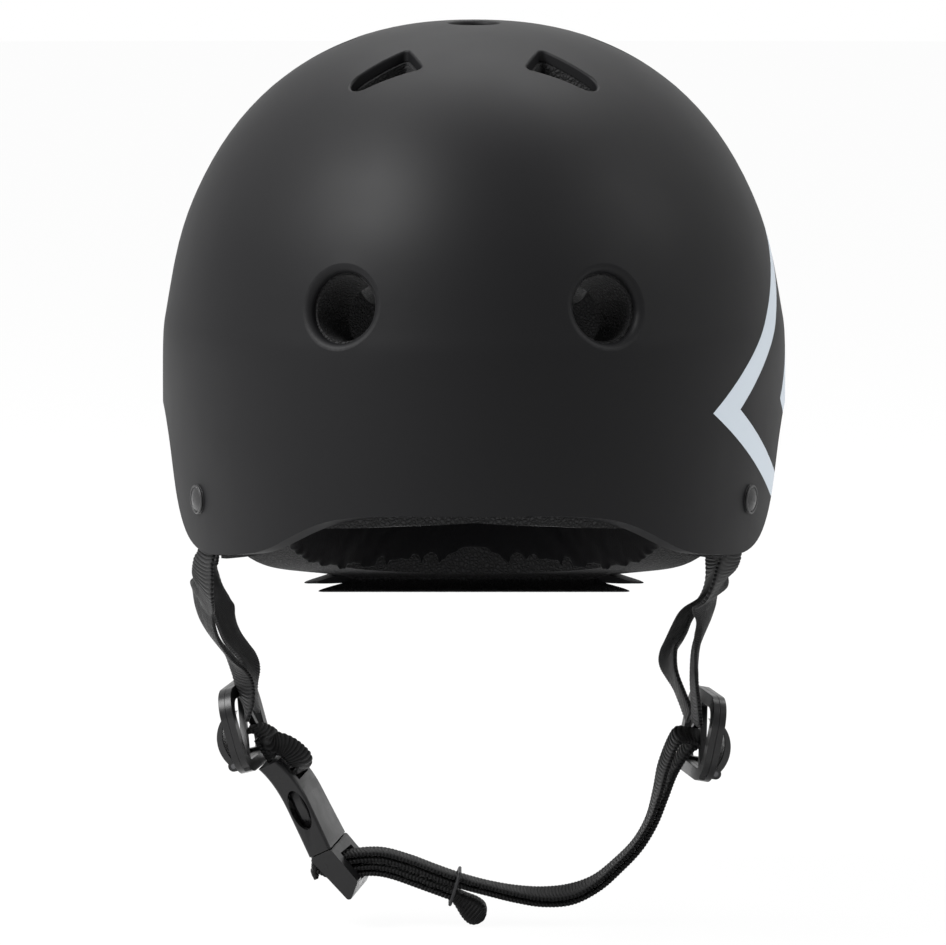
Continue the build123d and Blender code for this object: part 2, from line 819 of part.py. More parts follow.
def clip_base():
    """The clip's leaning grip block with its level strap slot, and the guide that enters the socket."""
    top = mouth_level - slide_gap
    half = socket_thickness / 2
    low = top - clip_length
    corners = [
        (-half, 0, top),
        (half, 0, top),
        (half * clip_low_share - clip_shift, 0, low),
        (-half - clip_shift * clip_low_share, 0, low + clip_length * (1 - clip_low_share)),
    ]
    face = make_face(Polyline(*corners, close=True))
    body = extrude(face, amount=socket_width / 2, dir=(0, 1, 0), both=True)
    body = fillet(body.edges().filter_by(Axis.Y), clip_round)
    guide_height = socket_thickness - 2 * (socket_wall + slide_gap)
    length = guide_length + clip_round
    guide = Box(guide_height, guide_width, length, align=(Align.CENTER, Align.CENTER, Align.MIN))
    body += Pos(0, 0, top - clip_round) * guide
    slot_height = pair_pitch + pair_thickness + 3 * pair_gap
    slot = Box(4 * socket_thickness, web_width + 2 * strap_gap, slot_height)
    return body - Pos(*clip_slot_place()) * Rot(Z=-buckle_turn) * Rot(Y=-clip_slot_tilt) * slot


def prong_root():
    """The prong's own hinge point, as width and height."""
    outer = half_room() - slide_gap - catch_depth
    return outer - prong_width / 2, mouth_level + prong_width / 2


def prong(side):
    """A springy arm with a rounded root and a sloped catch, on one side."""
    y, z = prong_root()
    inner = y - prong_width / 2
    outer = y + prong_width / 2
    tip = z + prong_length
    catch_low = mouth_level + mouth_depth + catch_play
    slope = catch_depth * 2
    points = [
        (inner, z),
        (outer, z),
        (outer, catch_low - slope),
        (outer + catch_depth, catch_low),
        (outer + catch_depth, catch_low + catch_length / 2),
        (outer - catch_depth, tip),
        (inner, tip),
    ]
    arm = make_face(Polyline(*points, close=True))
    arm += Pos(y, z) * Circle(prong_width / 2)
    height = socket_thickness - 2 * (socket_wall + slide_gap)
    body = upright(arm, -height / 2, height / 2)
    return body if side > 0 else mirror(body, about=Plane.XZ)


def strap_leg(plane, hang, shares):
    """A strap leg from its rivet, straight down behind the shell, then in a curve to its divider."""
    side = hang[0]
    depth = shell_wall + strap_gap + web_thickness / 2
    rivet = plane.origin - plane.z_dir * depth
    top = rivet + plane.y_dir * (rivet_head_radius + web_thickness)
    exit_point = rivet - plane.y_dir * strap_drop
    belly = []
    for x_share, y_share, z_share in shares:
        length = front_length if y_share < 0 else rear_length
        belly.append(Vector(side * x_share * half_width, y_share * length, z_share * strap_hang))
    end = 1 if plane.origin.Y > 0 else -1
    inner_x = -divider_thickness / 2 - strap_gap - web_thickness / 2
    slot_y = end * (divider_width / 2 - divider_ring) / 2
    last = seat_point((inner_x, slot_y, leg_end_rise), *hang)
    curve = Spline(exit_point, *belly, last, tangents=[-plane.y_dir, last - belly[-1]])
    path = Wire([Line(top, exit_point).edge(), curve.edge()])
    across = plane.x_dir * side
    if across.Y < 0:
        across = across * -1
    turned = width_direction(hang)
    between = blend_directions([across, turned], leg_turn_share)
    leg = webbing(path, [across, across, between, turned])
    hole = plane.offset(-reach) * Circle(rivet_shank_radius + rivet_hole_gap)
    return leg - extrude(hole, amount=2 * reach, dir=plane.z_dir)


def slot_point(run, rise):
    """A point of the clip's slot: run along it towards the chin, rise square to it."""
    climb = radians(buckle_lean - clip_slot_tilt)
    x = -run * cos(climb) + rise * sin(climb)
    z = run * sin(climb) + rise * cos(climb)
    return seat_point(clip_slot_place(), *buckle) + Vector(buckle[0] * x, 0, z)


def width_direction(hang):
    """The direction of a hung piece's width on the helmet."""
    side, place, lean, turn = hang
    return seat_point((0, 1, 0), side, (0, 0, 0), lean, turn)


def chin_points():
    """The middle of the chin strap's two layers, from the left divider through the clip's slot."""
    inner_x = -divider_thickness / 2 - strap_gap - pair_thickness / 2
    points = [seat_point((inner_x, 0, -web_start_drop), *left_divider)]
    points += [Vector(x * half_width, 0, z * strap_hang) for x, z in chin_strap_shares]
    points.append(slot_point(0, pair_pitch / 2))
    points.append(slot_point(-fold_start, pair_pitch / 2))
    return points


def chin_layer(side):
    """One of the chin strap's two layers: 1 is the outer one, -1 the inner one."""
    level = Vector(0, 1, 0)
    twisted = Vector(chin_twist_share, 1, chin_twist_share)
    across = [width_direction(left_divider), level, twisted, level, level, level]
    spread = strap_spread * min(side, 0)
    return webbing(Spline(*chin_points()), across, side * web_pitch / 2, spread)


def tail_points():
    """The middle of the tail's two layers, from the fold beside the clip to past the keeper."""
    chin = chin_points()
    points = [slot_point(-fold_start - fold_gap, -pair_pitch / 2), slot_point(0, -pair_pitch / 2)]
    points += [beside(chin, keeper_index + step, pair_pitch) for step in (2, 1, 0)]
    past = (points[-1] - points[-2]).normalized() * tail_past
    return [*points, points[-1] + past]


def strap_tail():
    """The two layers that come back out of the clip, their fold beside it and their sewn end."""
    points = tail_points()
    level = Vector(0, 1, 0)
    band = webbing(Spline(*points), [level, level], 0, 0, pair_thickness)
    middle = slot_point(-fold_start - fold_gap, 0)
    frame = Plane(origin=middle, x_dir=points[0] - points[1], z_dir=level)
    radius = (pair_pitch + pair_thickness) / 2
    half_disc = Circle(radius) & Pos(radius, 0) * Rectangle(2 * radius, 2 * radius)
    fold = frame * extrude(half_disc, amount=web_width / 2, both=True)
    return band + fold + tail_end(points[-1], points[-1] - points[-2])


def tail_end(last, run):
    """The sewn fold at the tail's free end, growing thicker to a round tip."""
    droop = Vector(cos(radians(tail_end_droop)), 0, -sin(radians(tail_end_droop)))
    start = last - run.normalized() * web_thickness / 2
    sections = []
    for run_share, thick_share in tail_end_shares:
        thickness = pair_thickness + (tail_end_thickness - pair_thickness) * thick_share
        middle = start + droop * tail_end_length * run_share
        plane = Plane(origin=middle, x_dir=(0, 1, 0), z_dir=droop)
        sections.append(plane * Rectangle(web_width, thickness))
    return loft(sections, ruled=True)


def keeper_ring():
    """A thin rubber ring round all four layers of webbing."""
    width = web_width + 2 * (keeper_gap + keeper_wire)
    height = pair_pitch + pair_thickness + 2 * (keeper_gap + keeper_wire)
    ring = RectangleRounded(width, height, keeper_round).wire()
    section = Plane(origin=ring.position_at(0), z_dir=ring.tangent_at(0)) * Circle(keeper_wire)
    body = sweep(section, path=ring)
    chin = chin_points()
    run = chin[keeper_index - 1] - chin[keeper_index + 1]
    middle = beside(chin, keeper_index, pair_pitch / 2)
    return Plane(origin=middle, x_dir=(0, 1, 0), z_dir=run) * body


def lower_strap(layer):
    """A layer of the short strap from the right divider to the buckle's bar: -1 inner, 1 outer."""
    inner_x = -divider_thickness / 2 - strap_gap - pair_thickness / 2
    lift = web_pitch / 2 if layer > 0 else -web_pitch
    start = seat_point((inner_x + lift, 0, -web_start_drop), *right_divider)
    bar = seat_point((socket_neck_lean, 0, socket_top + strap_gap), *buckle)
    down = Vector(bar.X - start.X, 0, bar.Z - start.Z)
    if layer < 0:
        x_share, z_share = lower_strap_share
        slot_z = socket_top - socket_bar - socket_slot_height / 2
        middle = Vector(-x_share * half_width, 0, z_share * strap_hang)
        entry = seat_point((-socket_thickness / 2, 0, slot_z), *buckle)
        end = seat_point((socket_wall, 0, slot_z), *buckle)
        path = Spline(start, middle, entry, end, tangents=[down, end - entry])
    else:
        path = Line(start, start + down)
    return webbing(path, [width_direction(right_divider), width_direction(buckle)])


def build_nodes():
    nodes = {}
    nodes["outer_shell"] = outer_shell()
    nodes["foam_liner"] = foam_liner()
    layer = pad_layer()
    pads = {
        "brow_pad": brow_pad(layer),
        "rear_pad": rear_pad(layer),
        "left_side_pad": side_pad(layer, 1),
        "right_side_pad": side_pad(layer, -1),
        "crown_pad": crown_pad(layer),
    }
    nodes.update(pads)
    nodes["hook_patches"] = hook_patches()
    planes = rivet_planes()
    nodes["strap_rivets"] = Compound(children=[strap_rivet(plane) for plane in planes])
    nodes["rivet_washers"] = Compound(children=[rivet_washer(plane) for plane in planes])
    add_dividers(nodes)
    add_buckle(nodes)
    add_straps(nodes, planes)
    return nodes


def add_dividers(nodes):
    for name, hang in {"left": left_divider, "right": right_divider}.items():
        nodes[name + "_divider_base"] = seat(divider_base(), *hang)
        nodes[name + "_divider_cover"] = seat(divider_cover(), *hang)
        nodes[name + "_divider_lever"] = seat(divider_lever(), *hang)
        nodes[name + "_divider_pin"] = seat(divider_pin(), *hang)


def add_buckle(nodes):
    nodes["buckle_socket"] = seat(buckle_socket(), *buckle)
    nodes["clip_base"] = seat(clip_base(), *buckle)
    nodes["front_prong"] = seat(prong(-1), *buckle)
    nodes["rear_prong"] = seat(prong(1), *buckle)


def add_straps(nodes, planes):
    front_left, front_right, rear_left, rear_right = planes
    nodes["left_front_strap"] = strap_leg(front_left, left_divider, left_front_leg_shares)
    nodes["right_front_strap"] = strap_leg(front_right, right_divider, right_front_leg_shares)
    nodes["left_rear_strap"] = strap_leg(rear_left, left_divider, left_rear_leg_shares)
    nodes["right_rear_strap"] = strap_leg(rear_right, right_divider, right_rear_leg_shares)
    nodes["chin_strap_outer"] = chin_layer(1)
    nodes["chin_strap_inner"] = chin_layer(-1)
    nodes["lower_strap_outer"] = lower_strap(1)
    nodes["lower_strap_inner"] = lower_strap(-1)
    nodes["strap_tail"] = strap_tail()
    nodes["keeper_ring"] = keeper_ring()


def main():
    os.makedirs("parts", exist_ok=True)
    for name, shape in build_nodes().items():
        export_step(shape, f"parts/{name}.step")


main()
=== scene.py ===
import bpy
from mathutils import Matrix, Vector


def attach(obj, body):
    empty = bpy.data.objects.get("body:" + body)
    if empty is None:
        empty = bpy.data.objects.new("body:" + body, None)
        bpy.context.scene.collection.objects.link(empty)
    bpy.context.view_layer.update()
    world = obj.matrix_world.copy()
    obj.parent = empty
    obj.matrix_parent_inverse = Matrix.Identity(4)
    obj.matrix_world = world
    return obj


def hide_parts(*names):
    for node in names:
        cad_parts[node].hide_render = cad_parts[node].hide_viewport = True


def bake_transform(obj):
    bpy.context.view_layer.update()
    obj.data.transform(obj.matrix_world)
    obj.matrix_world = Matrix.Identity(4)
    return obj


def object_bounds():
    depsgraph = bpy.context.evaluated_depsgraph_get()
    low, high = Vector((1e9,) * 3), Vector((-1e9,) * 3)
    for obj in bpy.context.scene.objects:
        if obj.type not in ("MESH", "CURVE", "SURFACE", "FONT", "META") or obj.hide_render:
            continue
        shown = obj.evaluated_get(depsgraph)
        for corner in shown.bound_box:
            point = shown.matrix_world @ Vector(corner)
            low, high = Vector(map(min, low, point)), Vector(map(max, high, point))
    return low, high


bl_info = {
    "name": "Skateboard Helmet",
    "version": (1, 0, 0),
    "blender": (4, 5, 0),
    "location": "View3D > Sidebar > Helmet",
    "description": "Dresses a hard-shell skateboard helmet: shell, liner, pads, webbing and buckle",
    "category": "Object",
}

import bmesh
import bpy
import numpy as np
from mathutils import Vector

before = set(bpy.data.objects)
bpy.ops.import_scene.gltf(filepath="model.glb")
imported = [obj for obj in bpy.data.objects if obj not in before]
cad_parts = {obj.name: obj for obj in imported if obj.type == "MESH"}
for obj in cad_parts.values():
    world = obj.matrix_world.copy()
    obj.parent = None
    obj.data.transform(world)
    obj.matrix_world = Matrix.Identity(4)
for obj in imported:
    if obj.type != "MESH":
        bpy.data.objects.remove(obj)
cad_box = [list(corner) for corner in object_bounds()]

MM = 0.001

# Webbing as it is woven, in metres
WEB_WIDTH = 14.0 * MM
WEB_THICKNESS = 2.0 * MM
LAYER_PITCH = 2.25 * MM
PAIR_THICKNESS = 4.25 * MM
PAIR_PITCH = 4.85 * MM
STATION_TOLERANCE = 0.03 * MM
PROFILE_POINTS = 44
ROWS_PER_RIB = 7

# Where the straps leave their dividers, in millimetres, ahead of their solids' own sections
DIVIDER_EXITS = {
    "lower_strap_outer": [],
    "lower_strap_inner": [(-78.0, -0.8, -87.6), (-74.4, -1.2, -87.2)],
    "chin_strap_outer": [(78.5, -0.8, -90.6)],
    "chin_strap_inner": [(78.0, -1.4, -90.2), (74.2, -1.6, -89.4)],
}

# How far each of these straps rolls about its run, as shares of its sections and in degrees
ROLLS = {
    "lower_strap_inner": [(0.0, 8), (0.2, 16), (0.62, 18), (0.8, 6), (1.0, 0)],
    "chin_strap_inner": [(0.0, 4), (0.16, 3), (0.4, 0), (1.0, 0)],
}

# How each leg bends from its solid: height, shift to the wearer's left, both in millimetres, turn in
# degrees, width and thickness as shares of the webbing's
LEG_BENDS = {
    "right_front_strap": [
        (6, 0.0, 0, 1.0, 1.0), (-18, -1.6, 0, 1.0, 1.0), (-24, -3.6, 6, 1.0, 1.0),
        (-30, -3.2, 8, 1.0, 1.0), (-34, -1.4, 8, 1.0, 1.0), (-39, 0.3, 8, 1.0, 1.0),
        (-50, -0.6, 12, 1.0, 1.0), (-57, -0.2, 20, 1.0, 1.0), (-61, 1.0, 28, 1.0, 1.0),
        (-66, 2.0, 36, 1.0, 1.0), (-72, 1.8, 36, 1.0, 1.0), (-77, 1.0, 26, 1.0, 1.0),
        (-82, 0.0, 8, 0.92, 1.0),
    ],
    "right_rear_strap": [
        (-7, 0.0, 0, 1.0, 1.0), (-16, -1.6, 16, 1.0, 1.0), (-24, -4.6, 30, 1.0, 1.0),
        (-34, -6.2, 30, 1.0, 1.0), (-41, -6.2, 20, 1.0, 1.0), (-48, -5.4, 10, 1.0, 1.0),
        (-54, -4.8, 4, 1.0, 1.0), (-60, -3.8, 0, 1.0, 1.0), (-68, -3.4, 0, 1.0, 1.0),
        (-75, -2.4, 0, 1.0, 1.0), (-81, -1.2, 0, 0.92, 1.0),
    ],
    "left_front_strap": [
        (6, 0.0, 0, 1.0, 1.0), (-16, -1.0, 6, 1.0, 1.0), (-24, -2.4, 12, 1.0, 1.0),
        (-30, -4.6, -6, 1.0, 1.0), (-34, -4.2, -16, 1.0, 1.0), (-37, -3.0, -14, 1.0, 1.2),
        (-40, -1.6, -6, 0.98, 1.5), (-44, -0.8, 2, 0.92, 1.8), (-48.5, -0.9, 6, 0.8, 1.7),
        (-51, -1.0, 2, 0.86, 1.1), (-57, -0.8, 0, 1.0, 1.0), (-70, -0.9, 0, 1.0, 1.0),
        (-85, -0.5, 0, 0.92, 1.0),
    ],
    "left_rear_strap": [
        (-7, 0.0, 0, 1.0, 1.0), (-35, -0.6, 4, 1.0, 1.0), (-42, -0.6, 16, 1.0, 1.0),
        (-47, -0.2, 24, 1.0, 1.0), (-56, -0.6, 16, 1.0, 1.0), (-62, -1.0, 12, 1.0, 1.0),
        (-68, -1.2, 8, 1.0, 1.0), (-74, -0.6, 4, 1.0, 1.0), (-84, 0.6, 0, 0.92, 1.0),
    ],
}

# The tail: how far its fold stands off the clip's bar, and its sewn end
FOLD_REACH = 5.3 * MM
TAIL_END_LENGTH = 14.0 * MM
TAIL_END_THICKNESS = 9.0 * MM
TAIL_END_DROOP = np.radians(40)
TAIL_SWELL_SHARE = 0.7
TAIL_TIP_SHARE = 0.72
TAIL_TIP_WIDTH_SHARE = 0.55

# The woven profile: how square it is across and through, how sharp its ribs are, and its edge teeth
ACROSS_POWER = 0.42
OUT_POWER = 0.62
RIB_POWER = 0.6
EDGE_TOOTH = 1.5

# The yarn's threads, from one to the next
TWIST_PITCH = 0.3 * MM
TWIST_WIDTH = 0.85 * MM
WARP_PITCH = 0.62 * MM
KNURL_PITCH = 0.95 * MM

# Meshes: the distance at which loose points join, and the angle under which faces are one flat
JOIN_DISTANCE = 0.002 * MM
FLAT_ANGLE = np.radians(1.0)
BEVEL_ANGLE = np.radians(35)
SHARP_ANGLE = np.radians(50)

# The pads' cloth
CLOTH_FRAMES = 20

# The studio: each light's place, aim and size in metres, the even light and the floor
KEY_LIGHT = ((-1.25, -0.6, 1.55), (0, 0, 0.03), (1.1, 1.1))
FILL_LIGHT = ((1.6, -0.1, 1.2), (0, 0, 0.03), (0.8, 0.8))
TOP_LIGHT = ((0.1, 1.0, 1.7), (0, 0, 0.1), (1.6, 0.8))
WORLD_STRENGTH = 0.3
FLOOR_RADIUS = 9.0
FLOOR_POINTS = 96
FLOOR_DROP = 0.5 * MM
FLOOR_GLOW_SHARE = 0.965
IMAGE_WIDTH = 946
SENSOR_WIDTH = 36.0


class Term:
    """A socket's value in an expression: each sign or function adds a Math node."""

    def __init__(self, finish, socket):
        self.finish = finish
        self.socket = socket

    def math(self, operation, first, second=0.0, clamp=False):
        settings = {"operation": operation, "use_clamp": clamp}
        node = self.finish.node("ShaderNodeMath", settings, {0: first, 1: second})
        return Term(self.finish, node.outputs[0])

    def __add__(self, other):
        return self.math("ADD", self, other)

    def __radd__(self, other):
        return self.math("ADD", other, self)

    def __sub__(self, other):
        return self.math("SUBTRACT", self, other)

    def __rsub__(self, other):
        return self.math("SUBTRACT", other, self)

    def __mul__(self, other):
        return self.math("MULTIPLY", self, other)

    def __rmul__(self, other):
        return self.math("MULTIPLY", other, self)

    def __truediv__(self, other):
        return self.math("DIVIDE", self, other)

    def __pow__(self, other):
        return self.math("POWER", self, other)

    def __lt__(self, other):
        return self.math("LESS_THAN", self, other)

    def __gt__(self, other):
        return self.math("GREATER_THAN", self, other)

    def __abs__(self):
        return self.math("ABSOLUTE", self)

    def clamp(self):
        return self.math("ADD", self, 0.0, clamp=True)

    def sine(self):
        return self.math("SINE", self)

    def angle_from(self, other):
        return self.math("ARCTAN2", self, other)


class Finish:
    """A material on one Principled shader, its nodes added by type, settings and socket values."""

    def __init__(self, name, colour, roughness, fixed=None):
        self.material = bpy.data.materials.new(name)
        self.material.use_nodes = True
        self.tree = self.material.node_tree
        self.shader = self.tree.nodes["Principled BSDF"]
        self.give("Base Color", (*colour, 1.0))
        self.give("Roughness", roughness)
        for socket, value in (fixed or {}).items():
            self.give(socket, value)

    def node(self, kind, settings=None, sockets=None):
        node = self.tree.nodes.new(kind)
        for key, value in (settings or {}).items():
            setattr(node, key, value)
        for socket, value in (sockets or {}).items():
            self.feed(node.inputs[socket], value)
        return node

    def feed(self, socket, value):
        if isinstance(value, Term):
            self.tree.links.new(value.socket, socket)
        elif isinstance(value, bpy.types.NodeSocket):
            self.tree.links.new(value, socket)
        else:
            socket.default_value = value

    def give(self, socket, value):
        self.feed(self.shader.inputs[socket], value)

    def place(self, stretch=(1.0, 1.0, 1.0)):
        """The point on the object, in metres, stretched."""
        point = self.node("ShaderNodeTexCoord").outputs["Object"]
        sockets = {"Vector": point, "Scale": stretch}
        return self.node("ShaderNodeMapping", None, sockets).outputs["Vector"]

    def along(self, name):
        """The point on the piece's own map, in metres across and along it."""
        return self.node("ShaderNodeUVMap", {"uv_map": name}).outputs["UV"]

    def parts(self, vector):
        """The three numbers of a vector."""
        node = self.node("ShaderNodeSeparateXYZ", None, {0: vector})
        return [Term(self, socket) for socket in node.outputs]

    def noise(self, vector, scale, detail=3.0, roughness=0.55):
        sockets = {"Vector": vector, "Scale": scale, "Detail": detail, "Roughness": roughness}
        return Term(self, self.node("ShaderNodeTexNoise", None, sockets).outputs["Fac"])

    def cells(self, vector, scale, feature="F1"):
        sockets = {"Vector": vector, "Scale": scale}
        node = self.node("ShaderNodeTexVoronoi", {"feature": feature}, sockets)
        return Term(self, node.outputs["Distance"])

    def mix(self, share, first, second):
        """A colour between two colours."""
        settings = {"data_type": "RGBA"}
        node = self.node("ShaderNodeMix", settings, {0: share, 6: (*first, 1.0), 7: (*second, 1.0)})
        return node.outputs[2]

    def remap(self, value, low, high, to_low, to_high):
        sockets = {0: value, 1: low, 2: high, 3: to_low, 4: to_high}
        return Term(self, self.node("ShaderNodeMapRange", None, sockets).outputs[0])

    def bump(self, height, distance, strength=1.0):
        sockets = {"Height": height, "Distance": distance, "Strength": strength}
        self.give("Normal", self.node("ShaderNodeBump", None, sockets).outputs["Normal"])


def lighter(colour, factor):
    return tuple(min(part * factor, 1.0) for part in colour)


def shell_finish(settings):
    """Matte moulded plastic with a fine grain, and a printed diamond on the wearer's left."""
    colour = tuple(settings.shell_colour)
    finish = Finish("shell_matte", colour, settings.shell_roughness, {"Specular IOR Level": 0.09})
    point = finish.place()
    grain = finish.noise(point, 2600.0, 2.0, 0.5)
    cloud = finish.noise(point, 22.0, 2.0, 0.5)
    printed = print_mask(finish, settings)
    tone = finish.mix(printed, colour, tuple(settings.print_colour))
    finish.give("Base Color", tone)
    matte = finish.remap(cloud, 0.3, 0.7, settings.shell_roughness - 0.03, settings.shell_roughness + 0.03)
    finish.give("Roughness", matte + printed * -0.06)
    finish.bump(grain * (1.0 - printed * 0.8), 0.035 * MM, 0.55)
    return finish.material


def print_mask(finish, settings):
    """1 inside the print: a diamond's outline and a small diamond in its middle.

    A diamond is where the shares of the half length and half height add up to less than 1.
    """
    x, y, z = finish.parts(finish.place())
    around = y.angle_from(x) * settings.print_radius
    height = z - settings.print_level
    share = abs(around) / settings.print_half_length + abs(height) / settings.print_half_height
    line = settings.print_line / settings.print_half_height
    outline = (share < 1.0) * (share > 1.0 - line)
    heart = share < settings.print_heart_share
    return (outline + heart).clamp() * (x > 0.0)


def foam_finish(settings):
    """Expanded foam: small packed beads with dark seams, and a fine speckle."""
    colour = tuple(settings.foam_colour)
    finish = Finish("foam_beads", colour, 0.82, {"Specular IOR Level": 0.12})
    point = finish.place()
    edge = finish.cells(point, 760.0, "DISTANCE_TO_EDGE")
    speck = finish.noise(point, 1500.0, 2.0, 0.6)
    bead = finish.remap(edge, 0.0, 0.32, 0.0, 1.0)
    shade = (bead * 0.65 + speck * 0.5).clamp()
    finish.give("Base Color", finish.mix(shade, lighter(colour, 0.4), lighter(colour, 1.9)))
    finish.bump(bead + speck * 0.35, 0.35 * MM, 0.9)
    return finish.material


def pad_finish(settings):
    """Brushed knitted fabric: a short pile that lies upright, over fine loops."""
    colour = tuple(settings.pad_colour)
    fixed = {"Specular IOR Level": 0.05, "Sheen Weight": 0.05, "Sheen Roughness": 0.4}
    finish = Finish("pad_brushed", colour, 0.95, fixed)
    pile = finish.noise(finish.place((1.0, 1.0, 0.22)), 2400.0, 3.0, 0.65)
    tuft = finish.noise(finish.place((1.0, 1.0, 0.5)), 420.0, 2.0, 0.5)
    shade = (pile * 0.8 + tuft * 0.45 - 0.12).clamp()
    finish.give("Base Color", finish.mix(shade, lighter(colour, 0.45), lighter(colour, 2.0)))
    finish.bump(pile + tuft * 0.5, 0.16 * MM, 0.7)
    return finish.material


def patch_finish():
    """Looped fastener fabric."""
    finish = Finish("patch_loops", (0.02, 0.02, 0.021), 0.9, {"Sheen Weight": 0.2})
    point = finish.place()
    loops = finish.cells(point, 1400.0)
    finish.give("Base Color", finish.mix(loops.clamp(), (0.035, 0.035, 0.037), (0.008, 0.008, 0.009)))
    finish.bump(1.0 - loops, 0.25 * MM, 0.9)
    return finish.material


def webbing_finish(settings):
    """Woven strap yarn: fine twisted threads over the ribs, painted shade in the valleys between the ribs
    and painted highlight on their crests, and a soft sheen.
    """
    colour = tuple(settings.colour)
    fixed = {"Specular IOR Level": 0.1, "Sheen Weight": 0.04, "Sheen Roughness": 0.35}
    finish = Finish("webbing_yarn", colour, 0.55, fixed)
    across, along, _ = finish.parts(finish.along("strap"))
    curve = (across / (WEB_WIDTH / 2)) ** 2.0 * (settings.rib_bow * np.pi)
    # Painted shade and highlight: the ribs' own phase darkens the base colour in each valley and lightens
    # it on each crest
    painted_rib_shade_and_highlight = abs((along * (np.pi / settings.rib_pitch) + curve).sine())
    twist = along * (2 * np.pi / TWIST_PITCH) + across * (2 * np.pi / TWIST_WIDTH)
    yarn = twist.sine() * 0.5 + 0.5
    warp = (across * (2 * np.pi / WARP_PITCH)).sine() * 0.5 + 0.5
    fibre = finish.noise(finish.place(), 3200.0, 2.0, 0.6)
    shade = ((yarn * 0.3 + warp * 0.25 + fibre * 0.6) * painted_rib_shade_and_highlight - 0.05).clamp()
    finish.give("Base Color", finish.mix(shade, lighter(colour, 0.15), lighter(colour, 3.6)))
    finish.bump(yarn * 0.5 + warp * 0.45 + fibre * 0.5, 0.12 * MM, 0.85)
    return finish.material


def moulded_finish(name, colour, roughness, coat=0.0):
    """Satin moulded plastic with a faint grain and slightly uneven gloss."""
    finish = Finish(name, colour, roughness, {"Specular IOR Level": 0.17, "Coat Weight": coat})
    point = finish.place()
    fine = finish.noise(point, 1700.0, 2.0, 0.5)
    cloud = finish.noise(point, 160.0, 3.0, 0.6)
    finish.give("Base Color", finish.mix(cloud.clamp(), lighter(colour, 0.8), lighter(colour, 1.25)))
    finish.give("Roughness", finish.remap(cloud, 0.25, 0.75, roughness - 0.05, roughness + 0.07))
    finish.bump(fine, 0.02 * MM, 0.6)
    return finish.material


def rivet_finish():
    """Black plastic rivet heads with a fine slanted knurl."""
    finish = Finish("rivet_satin", (0.009, 0.009, 0.0094), 0.4, {"Specular IOR Level": 0.25})
    x, y, z = finish.parts(finish.place())
    first = ((y + z) * (2 * np.pi / KNURL_PITCH)).sine()
    second = ((y - z) * (2 * np.pi / KNURL_PITCH)).sine()
    finish.give("Roughness", finish.remap(first * second, -1.0, 1.0, 0.38, 0.5))
    finish.bump(first * second, 0.05 * MM, 0.7)
    return finish.material


def steel_finish(name, colour):
    """Brushed steel, bare or blackened."""
    finish = Finish(name, colour, 0.32, {"Metallic": 1.0})
    brush = finish.noise(finish.place((1.0, 14.0, 14.0)), 240.0, 3.0, 0.6)
    finish.give("Roughness", finish.remap(brush, 0.3, 0.7, 0.24, 0.44))
    finish.bump(brush, 0.01 * MM, 0.5)
    return finish.material


def rubber_finish():
    """Matte rubber with a dusty bloom."""
    finish = Finish("keeper_rubber", (0.01, 0.01, 0.0105), 0.5, {"Specular IOR Level": 0.2})
    bloom = finish.noise(finish.place(), 700.0, 3.0, 0.6)
    finish.give("Base Color", finish.mix(bloom.clamp(), (0.006, 0.006, 0.0065), (0.018, 0.018, 0.019)))
    finish.give("Roughness", finish.remap(bloom, 0.3, 0.7, 0.4, 0.6))
    finish.bump(bloom, 0.03 * MM, 0.6)
    return finish.material


def dress(node, material):
    """Give a CAD node its finish in each of its slots."""
    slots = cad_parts[node].data.materials
    for index in range(len(slots)):
        slots[index] = material


def new_piece(name, mesh, material):
    piece = bpy.data.objects.new(name, mesh)
    bpy.context.scene.collection.objects.link(piece)
    mesh.materials.clear()
    mesh.materials.append(material)
    return piece


def merged_mesh(node, name):
    """A copy of a node's mesh with its loose triangles joined and flat faces made whole."""
    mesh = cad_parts[node].data.copy()
    mesh.name = name
    work = bmesh.new()
    work.from_mesh(mesh)
    bmesh.ops.remove_doubles(work, verts=work.verts, dist=JOIN_DISTANCE)
    bmesh.ops.dissolve_limit(
        work, angle_limit=FLAT_ANGLE, verts=work.verts, edges=work.edges, delimit={"NORMAL"}
    )
    work.to_mesh(mesh)
    work.free()
    return mesh


def softened(node, width, material, body, segments=3):
    """A CAD node's shape with its sharp moulded edges rounded, standing for the node."""
    mesh = merged_mesh(node, node + "_moulded")
    piece = new_piece(node + "_moulded", mesh, material)
    bevel = piece.modifiers.new("edges", "BEVEL")
    bevel.width = width
    bevel.segments = segments
    bevel.limit_method = "ANGLE"
    bevel.angle_limit = BEVEL_ANGLE
    bevel.use_clamp_overlap = True
    bevel.harden_normals = False
    mesh.polygons.foreach_set("use_smooth", np.ones(len(mesh.polygons), dtype=bool))
    mesh.set_sharp_from_angle(angle=SHARP_ANGLE)
    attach(piece, body)
    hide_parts(node)
    return piece


def unit(vectors):
    return vectors / np.linalg.norm(vectors, axis=-1, keepdims=True)


def mesh_points(mesh):
    points = np.empty(len(mesh.vertices) * 3)
    mesh.vertices.foreach_get("co", points)
    return points.reshape(-1, 3)


def mesh_edges(mesh):
    edges = np.empty(len(mesh.edges) * 2, dtype=np.int64)
    mesh.edges.foreach_get("vertices", edges)
    return edges.reshape(-1, 2)


